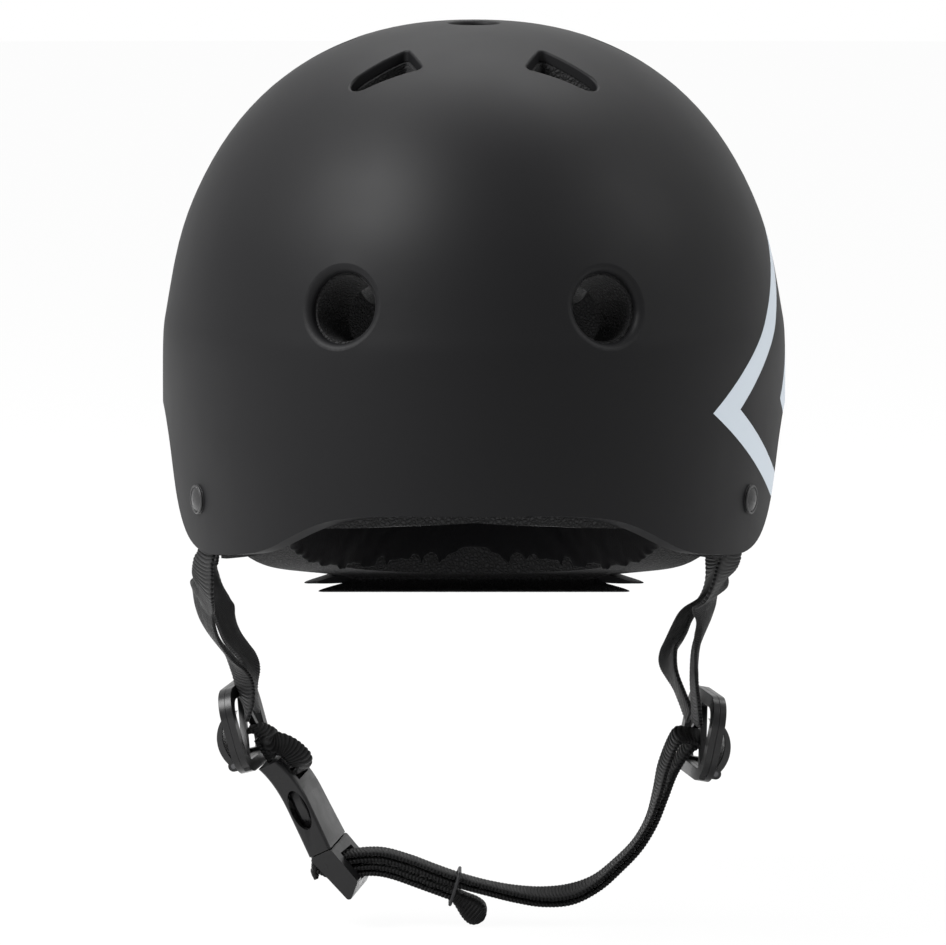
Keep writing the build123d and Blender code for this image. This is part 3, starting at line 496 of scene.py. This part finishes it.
def strap_stations(node, thickness, order):
    """A strap's cross-sections, in order, as middles, width directions and normals.

    Each is a pair of edges as long as the webbing is wide, one on each face of the strap's solid.
    """
    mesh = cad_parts[node].data
    ends = mesh_points(mesh)[mesh_edges(mesh)]
    run = ends[:, 1] - ends[:, 0]
    length = np.linalg.norm(run, axis=1)
    wide = np.abs(length - WEB_WIDTH) < STATION_TOLERANCE
    middles = ends[wide].mean(axis=1)
    across = run[wide] / length[wide, None]
    across *= np.where(across[:, 1:2] < 0, -1.0, 1.0)
    _, first = np.unique(np.round(middles / (0.01 * MM)), axis=0, return_index=True)
    middles = middles[first]
    across = across[first]
    gaps = middles[None, :, :] - middles[:, None, :]
    reach = np.linalg.norm(gaps, axis=2)
    slant = np.abs(np.einsum("ijk,ik->ij", gaps, across))
    alike = across @ across.T
    pairs = np.abs(reach - thickness) < STATION_TOLERANCE
    pairs &= (slant < STATION_TOLERANCE) & (alike > 0.9995)
    one, other = np.nonzero(np.triu(pairs, 1))
    centres = (middles[one] + middles[other]) / 2
    normals = unit(middles[other] - middles[one])
    widths = across[one]
    rank = np.argsort(centres @ np.array(order))
    centres, widths, normals = centres[rank], widths[rank], normals[rank]
    along = np.gradient(centres, axis=0)
    handed = np.einsum("ij,ij->i", np.cross(along, widths), normals)
    normals *= np.where(handed < 0, -1.0, 1.0)[:, None]
    return centres, widths, normals


def between(values, places):
    """Values at fractional places in a list, on a Catmull-Rom curve through them."""
    last = len(values) - 1
    start = np.clip(np.floor(places).astype(int), 0, last - 1)
    rest = (places - start)[:, None]
    before = values[np.clip(start - 1, 0, last)]
    here = values[start]
    there = values[start + 1]
    beyond = values[np.clip(start + 2, 0, last)]
    bend = 2 * before - 5 * here + 4 * there - beyond
    swing = 3 * (here - there) + beyond - before
    return 0.5 * (2 * here + rest * (there - before) + rest ** 2 * bend + rest ** 3 * swing)


def even_route(centres, widths, step):
    """A route's middles, width directions and places in its list, at even steps along it."""
    run = np.linalg.norm(np.diff(centres, axis=0), axis=1)
    travel = np.concatenate([[0.0], np.cumsum(run)])
    count = max(int(travel[-1] / step), 2)
    places = np.interp(np.linspace(0, travel[-1], count), travel, np.arange(len(centres)))
    return between(centres, places), unit(between(widths, places)), places


def route_frame(centres, widths):
    """Distance along, width directions squared to the route, and normals."""
    along = unit(np.gradient(centres, axis=0))
    widths = unit(widths - along * np.einsum("ij,ij->i", widths, along)[:, None])
    normals = unit(np.cross(along, widths))
    run = np.linalg.norm(np.diff(centres, axis=0), axis=1)
    return np.concatenate([[0.0], np.cumsum(run)]), widths, normals


def strap_mesh(name, centres, widths, settings, width=None, thickness=None, bow=1.0):
    """A woven strap: a flat rounded profile carried along a route, ribbed across.

    Across the profile a point at angle a lies at width/2 * cos(a)^ACROSS_POWER and at
    thickness/2 * sin(a)^OUT_POWER. It is sunk by the rib depth times
    1 - |sin(pi * (distance / pitch + bow * across^2))|^RIB_POWER, and deeper at the strap's two
    edges, where the ribs show as teeth.
    """
    travel, widths, normals = route_frame(centres, widths)
    angle = np.linspace(0, 2 * np.pi, PROFILE_POINTS, endpoint=False)
    cosine, sine = np.cos(angle), np.sin(angle)
    across = np.sign(cosine) * np.abs(cosine) ** ACROSS_POWER
    out = np.sign(sine) * np.abs(sine) ** OUT_POWER
    half_width = np.broadcast_to(WEB_WIDTH / 2 if width is None else width / 2, travel.shape)
    half_thick = np.broadcast_to(WEB_THICKNESS / 2 if thickness is None else thickness / 2, travel.shape)
    phase = travel[:, None] / settings.rib_pitch + bow * settings.rib_bow * across[None, :] ** 2
    valley = 1 - np.abs(np.sin(np.pi * phase)) ** RIB_POWER
    edge = np.abs(cosine) ** 3
    sink = settings.rib_depth * valley
    wide = half_width[:, None] * across - sink * EDGE_TOOTH * np.sign(cosine) * edge
    high = half_thick[:, None] * out - sink * np.sign(sine) * (1 - edge)
    points = centres[:, None, :] + wide[..., None] * widths[:, None, :]
    points = points + high[..., None] * normals[:, None, :]
    uv = np.stack([half_width[:, None] * across[None, :] + 0 * high, travel[:, None] + 0 * high], axis=-1)
    return tube_mesh(name, points, uv)


def tube_mesh(name, points, uv):
    """Rings of points joined by quads, closed by one face at each end, with a map of its own."""
    rows, columns, _ = points.shape
    index = np.arange(rows * columns).reshape(rows, columns)
    ahead = np.roll(index, -1, axis=1)
    quads = np.stack([index[:-1], ahead[:-1], ahead[1:], index[1:]], axis=-1).reshape(-1, 4)
    faces = quads.tolist() + [index[0, ::-1].tolist(), index[-1].tolist()]
    mesh = bpy.data.meshes.new(name)
    mesh.from_pydata(points.reshape(-1, 3), [], faces)
    corner = np.empty(len(mesh.loops), dtype=np.int64)
    mesh.loops.foreach_get("vertex_index", corner)
    layer = mesh.uv_layers.new(name="strap")
    layer.data.foreach_set("uv", uv.reshape(-1, 2)[corner].ravel())
    mesh.polygons.foreach_set("use_smooth", np.ones(len(mesh.polygons), dtype=bool))
    recalculated(mesh)
    return mesh


def recalculated(mesh):
    work = bmesh.new()
    work.from_mesh(mesh)
    bmesh.ops.recalc_face_normals(work, faces=work.faces)
    work.to_mesh(mesh)
    work.free()


def strap_piece(name, centres, widths, material, settings, **shape):
    """A strap made from a route's sparse middles and width directions."""
    step = settings.rib_pitch / ROWS_PER_RIB
    fine_centres, fine_widths, places = even_route(centres, widths, step)
    for key, values in shape.items():
        if np.ndim(values) == 1:
            shape[key] = np.interp(places, np.arange(len(values)), values)
    mesh = strap_mesh(name, fine_centres, fine_widths, settings, **shape)
    return new_piece(name, mesh, material)


class HelmetShellSettings(bpy.types.PropertyGroup):
    shell_colour: bpy.props.FloatVectorProperty(
        name="Shell colour", description="Colour of the moulded shell", subtype="COLOR", size=3,
        default=(0.0036, 0.0036, 0.004), min=0.0, max=1.0,
    )
    shell_roughness: bpy.props.FloatProperty(
        name="Shell roughness", description="How matte the shell is", default=0.54, min=0.05, max=1.0,
        subtype="FACTOR",
    )
    print_colour: bpy.props.FloatVectorProperty(
        name="Print colour", description="Colour of the printed diamond", subtype="COLOR", size=3,
        default=(0.4, 0.44, 0.48), min=0.0, max=1.0,
    )
    print_radius: bpy.props.FloatProperty(
        name="Print radius", description="Radius at which the print's length is measured",
        default=0.118, unit="LENGTH",
    )
    print_level: bpy.props.FloatProperty(
        name="Print level", description="Height of the print's middle", default=0.03, unit="LENGTH",
    )
    print_half_length: bpy.props.FloatProperty(
        name="Print half length", description="From the print's middle to its front tip",
        default=0.1, unit="LENGTH",
    )
    print_half_height: bpy.props.FloatProperty(
        name="Print half height", description="From the print's middle to its upper tip",
        default=0.062, unit="LENGTH",
    )
    print_line: bpy.props.FloatProperty(
        name="Print line", description="Upright thickness of the diamond's outline",
        default=0.011, unit="LENGTH",
    )
    print_heart_share: bpy.props.FloatProperty(
        name="Inner diamond", description="Size of the small diamond as a share of the large one",
        default=0.34, min=0.0, max=1.0, subtype="FACTOR",
    )


class HelmetSoftSettings(bpy.types.PropertyGroup):
    foam_colour: bpy.props.FloatVectorProperty(
        name="Foam colour", description="Colour of the expanded foam", subtype="COLOR", size=3,
        default=(0.009, 0.009, 0.0093), min=0.0, max=1.0,
    )
    pad_colour: bpy.props.FloatVectorProperty(
        name="Pad colour", description="Colour of the pads' brushed fabric", subtype="COLOR", size=3,
        default=(0.0014, 0.0014, 0.0016), min=0.0, max=1.0,
    )
    voxel: bpy.props.FloatProperty(
        name="Pad mesh size", description="Size of the pads' cloth cells", default=0.003, unit="LENGTH",
    )
    pressure: bpy.props.FloatProperty(
        name="Pad pressure", description="How hard the pads' filling pushes", default=3.0, min=0.0,
    )
    swell: bpy.props.FloatProperty(
        name="Pad swell", description="How far a pad's cover may move out", default=0.0012,
        unit="LENGTH",
    )


class HelmetWebbingSettings(bpy.types.PropertyGroup):
    colour: bpy.props.FloatVectorProperty(
        name="Webbing colour", description="Colour of the strap yarn", subtype="COLOR", size=3,
        default=(0.0042, 0.0042, 0.0044), min=0.0, max=1.0,
    )
    rib_pitch: bpy.props.FloatProperty(
        name="Rib pitch", description="From one rib to the next", default=0.00125, unit="LENGTH",
    )
    rib_depth: bpy.props.FloatProperty(
        name="Rib depth", description="How deep the valleys between the ribs are", default=0.0005,
        unit="LENGTH",
    )
    rib_bow: bpy.props.FloatProperty(
        name="Rib bow", description="How far a rib curves, in ribs", default=0.9, min=0.0,
    )


class HelmetHardwareSettings(bpy.types.PropertyGroup):
    plastic_colour: bpy.props.FloatVectorProperty(
        name="Plastic colour", description="Colour of the dividers and the buckle", subtype="COLOR",
        size=3, default=(0.0055, 0.0055, 0.0058), min=0.0, max=1.0,
    )
    plastic_roughness: bpy.props.FloatProperty(
        name="Plastic roughness", description="Finish of the dividers and the buckle", default=0.3,
        min=0.05, max=1.0, subtype="FACTOR",
    )
    edge_round: bpy.props.FloatProperty(
        name="Edge rounding", description="Width of the rounded moulded edges", default=0.0006,
        unit="LENGTH",
    )
    prong_round: bpy.props.FloatProperty(
        name="Prong rounding", description="Width of the prongs' rounded edges", default=0.0012,
        unit="LENGTH",
    )


class HelmetStageSettings(bpy.types.PropertyGroup):
    camera_distance: bpy.props.FloatProperty(
        name="Camera distance", description="From the camera to the helmet", default=2.4, unit="LENGTH",
    )
    camera_elevation: bpy.props.FloatProperty(
        name="Camera elevation", description="How far above level the camera stands",
        default=float(np.radians(5.5)), subtype="ANGLE",
    )
    camera_level: bpy.props.FloatProperty(
        name="Aim height", description="Height that the camera is aimed at", default=0.0017,
        unit="LENGTH",
    )
    frame_width: bpy.props.FloatProperty(
        name="View width", description="Width of the view at the helmet", default=0.3262, unit="LENGTH",
    )
    key_power: bpy.props.FloatProperty(
        name="Key light", description="Power of the soft light from the upper left", default=112.0,
        min=0.0, unit="POWER",
    )
    fill_power: bpy.props.FloatProperty(
        name="Fill light", description="Power of the soft light from the right", default=20.0, min=0.0,
        unit="POWER",
    )
    top_power: bpy.props.FloatProperty(
        name="Top light", description="Power of the soft light above and behind", default=27.0, min=0.0,
        unit="POWER",
    )
    floor_colour: bpy.props.FloatVectorProperty(
        name="Floor colour", description="Colour of the floor", subtype="COLOR", size=3,
        default=(0.9, 0.9, 0.9), min=0.0, max=1.0,
    )


class HELMET_OT_shell(bpy.types.Operator):
    """Finish the hard shell and its print."""

    bl_idname = "helmet.shell"
    bl_label = "Shell"

    def execute(self, context):
        dress("outer_shell", shell_finish(context.scene.helmet_shell))
        return {"FINISHED"}


class HELMET_OT_liner(bpy.types.Operator):
    """Finish the foam liner and the patches that hold the pads."""

    bl_idname = "helmet.liner"
    bl_label = "Foam liner"

    def execute(self, context):
        dress("foam_liner", foam_finish(context.scene.helmet_soft))
        dress("hook_patches", patch_finish())
        return {"FINISHED"}


def padded_copy(node, settings, material):
    """A pad's cover, filled: its solid remeshed, pressed outwards as cloth and smoothed."""
    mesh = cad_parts[node].data.copy()
    mesh.name = node + "_cover"
    work = bmesh.new()
    work.from_mesh(mesh)
    bmesh.ops.remove_doubles(work, verts=work.verts, dist=JOIN_DISTANCE)
    work.to_mesh(mesh)
    work.free()
    piece = new_piece(node + "_cover", mesh, material)
    remesh = piece.modifiers.new("cells", "REMESH")
    remesh.mode = "VOXEL"
    remesh.voxel_size = settings.voxel * 0.7
    apply_modifiers(piece)
    smooth = piece.modifiers.new("even", "SMOOTH")
    smooth.iterations = 3
    smooth.factor = 0.5
    apply_modifiers(piece)
    press_outwards(piece, settings)
    return piece


def press_outwards(piece, settings):
    """Cloth with pressure and no gravity for some frames, each point's movement capped."""
    rest = mesh_points(piece.data)
    cloth = piece.modifiers.new("filling", "CLOTH")
    cloth.settings.use_pressure = True
    cloth.settings.uniform_pressure_force = settings.pressure
    cloth.settings.effector_weights.gravity = 0.0
    cloth.settings.quality = 4
    scene = bpy.context.scene
    for step in range(1, CLOTH_FRAMES + 1):
        scene.frame_set(step)
    apply_modifiers(piece)
    scene.frame_set(1)
    moved = mesh_points(piece.data) - rest
    distance = np.linalg.norm(moved, axis=1, keepdims=True)
    share = np.minimum(1.0, settings.swell / np.maximum(distance, 1e-9))
    piece.data.vertices.foreach_set("co", (rest + moved * share).ravel())
    piece.data.update()


def apply_modifiers(piece):
    """Keep the piece's evaluated shape as its mesh and drop its modifiers."""
    graph = bpy.context.evaluated_depsgraph_get()
    shaped = bpy.data.meshes.new_from_object(piece.evaluated_get(graph))
    shaped.name = piece.data.name
    piece.modifiers.clear()
    piece.data = shaped


class HELMET_OT_pads(bpy.types.Operator):
    """Fill and cover the five comfort pads."""

    bl_idname = "helmet.pads"
    bl_label = "Comfort pads"

    def execute(self, context):
        settings = context.scene.helmet_soft
        material = pad_finish(settings)
        for node in ("brow_pad", "rear_pad", "left_side_pad", "right_side_pad", "crown_pad"):
            piece = padded_copy(node, settings, material)
            finer = piece.modifiers.new("finer", "SUBSURF")
            finer.levels = 1
            finer.render_levels = 1
            mesh = piece.data
            mesh.polygons.foreach_set("use_smooth", np.ones(len(mesh.polygons), dtype=bool))
            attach(piece, "shell")
            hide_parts(node)
        return {"FINISHED"}


class HELMET_OT_rivets(bpy.types.Operator):
    """Finish the strap rivets and their washers."""

    bl_idname = "helmet.rivets"
    bl_label = "Strap rivets"

    def execute(self, context):
        dress("strap_rivets", rivet_finish())
        dress("rivet_washers", steel_finish("washer_steel", (0.55, 0.55, 0.57)))
        return {"FINISHED"}


def leg_shape(node, side):
    """A leg's route and width directions, bent and turned from its solid's as the photograph shows.

    The table runs from the rivet down to the divider; turns bring the strap's rear edge outwards.
    """
    centres, widths, _ = strap_stations(node, WEB_THICKNESS, (0, 0, -1))
    table = np.array(LEG_BENDS[node])
    height = -centres[:, 2] / MM
    shift, turn, breadth, depth = (np.interp(height, -table[:, 0], table[:, k]) for k in range(1, 5))
    centres = centres + np.stack([shift * MM, 0 * shift, 0 * shift], axis=1)
    outward = np.array([side, 0.0, 0.0])
    angle = np.radians(turn)[:, None]
    widths = unit(widths * np.cos(angle) + outward * np.sin(angle))
    return centres, widths, breadth, depth


class HELMET_OT_legs(bpy.types.Operator):
    """Weave the four strap legs between the shell and the dividers."""

    bl_idname = "helmet.legs"
    bl_label = "Strap legs"

    def execute(self, context):
        settings = context.scene.helmet_webbing
        material = webbing_finish(settings)
        for side, sign in (("left", 1), ("right", -1)):
            for end in ("front", "rear"):
                node = f"{side}_{end}_strap"
                centres, widths, breadth, depth = leg_shape(node, sign)
                leg = strap_piece(
                    node + "_webbing", centres, widths, material, settings,
                    width=WEB_WIDTH * breadth, thickness=WEB_THICKNESS * depth,
                )
                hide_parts(node)
                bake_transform(leg)
        return {"FINISHED"}


def from_divider(node, order):
    """A strap layer's route out of its divider, its width directions and its joined sections.

    A roll turns each width direction towards the layer's normal, by its angle's cosine and sine.
    """
    centres, widths, normals = strap_stations(node, WEB_THICKNESS, order)
    start, end = tuple(centres[3]), tuple(centres[-4])
    table = np.array(ROLLS.get(node, [(0.0, 0)]))
    roll = np.radians(np.interp(np.linspace(0, 1, len(centres)), table[:, 0], table[:, 1]))[:, None]
    inward = normals * np.where(normals[:, 0:1] * centres[:, 0:1] > 0, -1.0, 1.0)
    widths = unit(widths * np.cos(roll) + inward * np.sin(roll))
    ahead = np.array(DIVIDER_EXITS[node]).reshape(-1, 3) * MM
    widths = np.concatenate([np.repeat(widths[:1], len(ahead), axis=0), widths])
    return np.concatenate([ahead, centres]), widths, start, end


class HELMET_OT_chin_strap(bpy.types.Operator):
    """Weave the chin strap's two layers and the short strap above the buckle."""

    bl_idname = "helmet.chin_strap"
    bl_label = "Chin strap"

    def execute(self, context):
        settings = context.scene.helmet_webbing
        material = webbing_finish(settings)
        for node in ("chin_strap_outer", "chin_strap_inner"):
            centres, widths, start, end = from_divider(node, (-1, 0, 0))
            layer = strap_piece(node + "_webbing", centres, widths, material, settings)
            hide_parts(node)
            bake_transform(layer)
        for node in ("lower_strap_outer", "lower_strap_inner"):
            centres, widths, _, _ = from_divider(node, (0, 0, -1))
            layer = strap_piece(node + "_webbing", centres, widths, material, settings)
            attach(layer, "chin_loop")
            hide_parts(node)
        return {"FINISHED"}


def tail_routes():
    """The two layers of the tail, each from its turn round the clip's bar to the keeper and past it.

    A turn is a half circle: the middle of the bar plus cosine and sine times the layer's radius.
    """
    centres, widths, normals = strap_stations("strap_tail", PAIR_THICKNESS, (1, 0, 0))
    apart = np.linalg.norm(np.diff(centres, axis=0, prepend=centres[:1]), axis=1) > MM
    band = apart & (np.abs(normals[:, 2]) > 0.9)
    centres, widths, normals = centres[band], widths[band], normals[band]
    run = unit(centres[0] - centres[1])
    centres = np.concatenate([centres[:1] + run * FOLD_REACH, centres])
    widths = np.concatenate([widths[:1], widths])
    normals = np.concatenate([normals[:1], normals])
    up = normals[0] if normals[0][2] > 0 else -normals[0]
    middle = centres[0] + up * PAIR_PITCH / 2
    signs = np.where(normals[:, 2:3] > 0, 1.0, -1.0)
    rising = normals * signs
    turn = np.linspace(np.pi / 2, -np.pi / 2, 13)[:-1, None]
    routes = []
    for side in (1, -1):
        radius = PAIR_PITCH / 2 + side * LAYER_PITCH / 2
        bend = middle + radius * (np.cos(turn) * run + np.sin(turn) * up)
        straight = centres - rising * side * LAYER_PITCH / 2
        route = np.concatenate([bend, straight])
        level = np.concatenate([np.repeat(widths[:1], len(bend), axis=0), widths])
        routes.append((route, level))
    return routes, centres[-1], widths[-1]


class HELMET_OT_tail(bpy.types.Operator):
    """Weave the strap's tail, its turn in the clip and its sewn end."""

    bl_idname = "helmet.tail"
    bl_label = "Strap tail"

    def execute(self, context):
        settings = context.scene.helmet_webbing
        material = webbing_finish(settings)
        routes, last, width = tail_routes()
        names = ("tail_outer_webbing", "tail_inner_webbing")
        for name, (centres, widths) in zip(names, routes):
            layer = strap_piece(name, centres, widths, material, settings)
            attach(layer, "buckle_clip")
            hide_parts("strap_tail")
        end = tail_end_piece(last, width, material, settings)
        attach(end, "buckle_clip")
        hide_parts("strap_tail")
        return {"FINISHED"}


def tail_end_piece(last, width, material, settings):
    """The folded and sewn end: a strap whose thickness rises to a round tip."""
    droop = np.array([np.cos(TAIL_END_DROOP), 0.0, -np.sin(TAIL_END_DROOP)])
    count = int(TAIL_END_LENGTH / settings.rib_pitch * ROWS_PER_RIB)
    share = np.linspace(0, 1, count)
    centres = last + share[:, None] * TAIL_END_LENGTH * droop
    widths = np.repeat(width[None, :], count, axis=0)
    swelling = 0.5 - 0.5 * np.cos(np.pi * np.clip(share / TAIL_SWELL_SHARE, 0, 1))
    past = np.clip(share - TAIL_TIP_SHARE, 0, 1) / (1 - TAIL_TIP_SHARE)
    tip = np.sqrt(np.clip(1 - past ** 2, 0.02, 1))
    thickness = (PAIR_THICKNESS + (TAIL_END_THICKNESS - PAIR_THICKNESS) * swelling) * tip
    breadth = WEB_WIDTH * (TAIL_TIP_WIDTH_SHARE + (1 - TAIL_TIP_WIDTH_SHARE) * tip)
    mesh = strap_mesh(
        "tail_end_webbing", centres, widths, settings, width=breadth, thickness=thickness, bow=1.6
    )
    return new_piece("tail_end_webbing", mesh, material)


class HELMET_OT_dividers(bpy.types.Operator):
    """Finish the two strap dividers, their levers and their pins."""

    bl_idname = "helmet.dividers"
    bl_label = "Strap dividers"

    def execute(self, context):
        settings = context.scene.helmet_hardware
        colour = tuple(settings.plastic_colour)
        plastic = moulded_finish("divider_satin", colour, settings.plastic_roughness)
        gloss = moulded_finish("lever_gloss", colour, 0.26, coat=0.05)
        steel = steel_finish("pin_steel", (0.05, 0.05, 0.052))
        for side in ("left", "right"):
            softened(side + "_divider_base", settings.edge_round, plastic, "chin_loop")
            softened(side + "_divider_cover", settings.edge_round, plastic, "chin_loop")
            softened(side + "_divider_lever", settings.edge_round, gloss, side + "_lever")
            dress(side + "_divider_pin", steel)
        return {"FINISHED"}


class HELMET_OT_buckle(bpy.types.Operator):
    """Finish the side-release buckle and the keeper ring."""

    bl_idname = "helmet.buckle"
    bl_label = "Buckle"

    def execute(self, context):
        settings = context.scene.helmet_hardware
        colour = tuple(settings.plastic_colour)
        plastic = moulded_finish("buckle_satin", colour, settings.plastic_roughness)
        gloss = moulded_finish("prong_gloss", colour, 0.24, coat=0.05)
        softened("buckle_socket", settings.edge_round, plastic, "chin_loop")
        softened("clip_base", settings.edge_round, plastic, "buckle_clip")
        for node in ("front_prong", "rear_prong"):
            softened(node, settings.prong_round, gloss, node, segments=4)
        dress("keeper_ring", rubber_finish())
        return {"FINISHED"}


def soft_light(name, place, aim, size, power):
    light = bpy.data.lights.new(name, "AREA")
    light.shape = "RECTANGLE"
    light.size = size[0]
    light.size_y = size[1]
    light.energy = power
    lamp = bpy.data.objects.new(name, light)
    lamp.location = place
    lamp.rotation_euler = (Vector(aim) - Vector(place)).to_track_quat("-Z", "Y").to_euler()
    bpy.context.scene.collection.objects.link(lamp)


def white_world(strength):
    """White to the camera and in reflections, and a dim even light on everything else."""
    world = bpy.data.worlds.new("studio")
    bpy.context.scene.world = world
    world.use_nodes = True
    tree = world.node_tree
    tree.nodes.clear()
    path = tree.nodes.new("ShaderNodeLightPath")
    seen = path.outputs["Is Camera Ray"]
    for ray in ("Is Transmission Ray", "Is Glossy Ray"):
        either = tree.nodes.new("ShaderNodeMath")
        either.operation = "MAXIMUM"
        tree.links.new(seen, either.inputs[0])
        tree.links.new(path.outputs[ray], either.inputs[1])
        seen = either.outputs[0]
    mixed = tree.nodes.new("ShaderNodeMixShader")
    tree.links.new(seen, mixed.inputs[0])
    for socket, power in ((1, strength), (2, 1.0)):
        light = tree.nodes.new("ShaderNodeBackground")
        light.inputs["Color"].default_value = (1, 1, 1, 1)
        light.inputs["Strength"].default_value = power
        tree.links.new(light.outputs[0], mixed.inputs[socket])
    output = tree.nodes.new("ShaderNodeOutputWorld")
    tree.links.new(mixed.outputs[0], output.inputs["Surface"])


def floor_finish(colour):
    """Pale floor, nearly white to the camera but still taking a faint shadow."""
    finish = Finish("floor_pale", colour, 0.9, {"Specular IOR Level": 0.0})
    path = finish.node("ShaderNodeLightPath")
    glow = finish.node("ShaderNodeEmission", None, {"Color": (1, 1, 1, 1), "Strength": 1.0})
    share = Term(finish, path.outputs["Is Camera Ray"]) * FLOOR_GLOW_SHARE
    sockets = {0: share, 1: finish.shader.outputs[0], 2: glow.outputs[0]}
    mixed = finish.node("ShaderNodeMixShader", None, sockets)
    output = finish.tree.nodes["Material Output"]
    finish.tree.links.new(mixed.outputs[0], output.inputs["Surface"])
    return finish.material


class HELMET_OT_stage(bpy.types.Operator):
    """Set up the floor, the soft studio light and the camera."""

    bl_idname = "helmet.stage"
    bl_label = "Stage"

    def execute(self, context):
        settings = context.scene.helmet_stage
        scene = context.scene
        scene.view_settings.view_transform = "Standard"
        white_world(WORLD_STRENGTH)
        soft_light("key_light", *KEY_LIGHT, settings.key_power)
        soft_light("fill_light", *FILL_LIGHT, settings.fill_power)
        soft_light("top_light", *TOP_LIGHT, settings.top_power)
        studio_floor(settings)
        scene.camera = studio_camera(settings)
        return {"FINISHED"}


def studio_floor(settings):
    """A wide round floor just under the helmet's lowest point."""
    turn = np.linspace(0, 2 * np.pi, FLOOR_POINTS, endpoint=False)
    level = np.full(FLOOR_POINTS, cad_box[0][2] - FLOOR_DROP)
    rim = np.stack([FLOOR_RADIUS * np.cos(turn), FLOOR_RADIUS * np.sin(turn), level], axis=1)
    mesh = bpy.data.meshes.new("floor")
    mesh.from_pydata(rim, [], [list(range(FLOOR_POINTS))])
    mesh.materials.append(floor_finish(tuple(settings.floor_colour)))
    floor = bpy.data.objects.new("floor", mesh)
    bpy.context.scene.collection.objects.link(floor)
    return floor


def studio_camera(settings):
    """The camera in front of the face, a little above level, aimed at the brow."""
    camera = bpy.data.cameras.new("camera")
    camera.sensor_width = SENSOR_WIDTH
    camera.lens = camera.sensor_width * settings.camera_distance / settings.frame_width
    camera.shift_x = -1 / IMAGE_WIDTH
    stand = bpy.data.objects.new("camera", camera)
    rise = settings.camera_elevation
    distance = settings.camera_distance
    stand.location = (0, -distance * np.cos(rise), settings.camera_level + distance * np.sin(rise))
    stand.rotation_euler = (np.pi / 2 - rise, 0, 0)
    bpy.context.scene.collection.objects.link(stand)
    return stand


class HELMET_PT_pieces(bpy.types.Panel):
    """Lists the helmet's pieces in the sidebar."""

    bl_label = "Skateboard Helmet"
    bl_idname = "HELMET_PT_pieces"
    bl_space_type = "VIEW_3D"
    bl_region_type = "UI"
    bl_category = "Helmet"

    def draw(self, context):
        for operator in OPERATORS:
            self.layout.operator(operator.bl_idname)
        for name in SETTINGS:
            group = getattr(context.scene, name)
            box = self.layout.box()
            for key in group.__annotations__:
                box.prop(group, key)


SETTINGS = {
    "helmet_shell": HelmetShellSettings,
    "helmet_soft": HelmetSoftSettings,
    "helmet_webbing": HelmetWebbingSettings,
    "helmet_hardware": HelmetHardwareSettings,
    "helmet_stage": HelmetStageSettings,
}
OPERATORS = (
    HELMET_OT_shell,
    HELMET_OT_liner,
    HELMET_OT_pads,
    HELMET_OT_rivets,
    HELMET_OT_legs,
    HELMET_OT_chin_strap,
    HELMET_OT_tail,
    HELMET_OT_dividers,
    HELMET_OT_buckle,
    HELMET_OT_stage,
)


def register():
    for group in SETTINGS.values():
        bpy.utils.register_class(group)
    for name, group in SETTINGS.items():
        setattr(bpy.types.Scene, name, bpy.props.PointerProperty(type=group))
    for operator in OPERATORS:
        bpy.utils.register_class(operator)
    bpy.utils.register_class(HELMET_PT_pieces)


def unregister():
    bpy.utils.unregister_class(HELMET_PT_pieces)
    for operator in reversed(OPERATORS):
        bpy.utils.unregister_class(operator)
    for name, group in SETTINGS.items():
        delattr(bpy.types.Scene, name)
        bpy.utils.unregister_class(group)


def main():
    register()
    bpy.ops.helmet.shell()
    bpy.ops.helmet.liner()
    bpy.ops.helmet.pads()
    bpy.ops.helmet.rivets()
    bpy.ops.helmet.legs()
    bpy.ops.helmet.chin_strap()
    bpy.ops.helmet.tail()
    bpy.ops.helmet.dividers()
    bpy.ops.helmet.buckle()
    bpy.ops.helmet.stage()


if __name__ == "__main__":
    main()
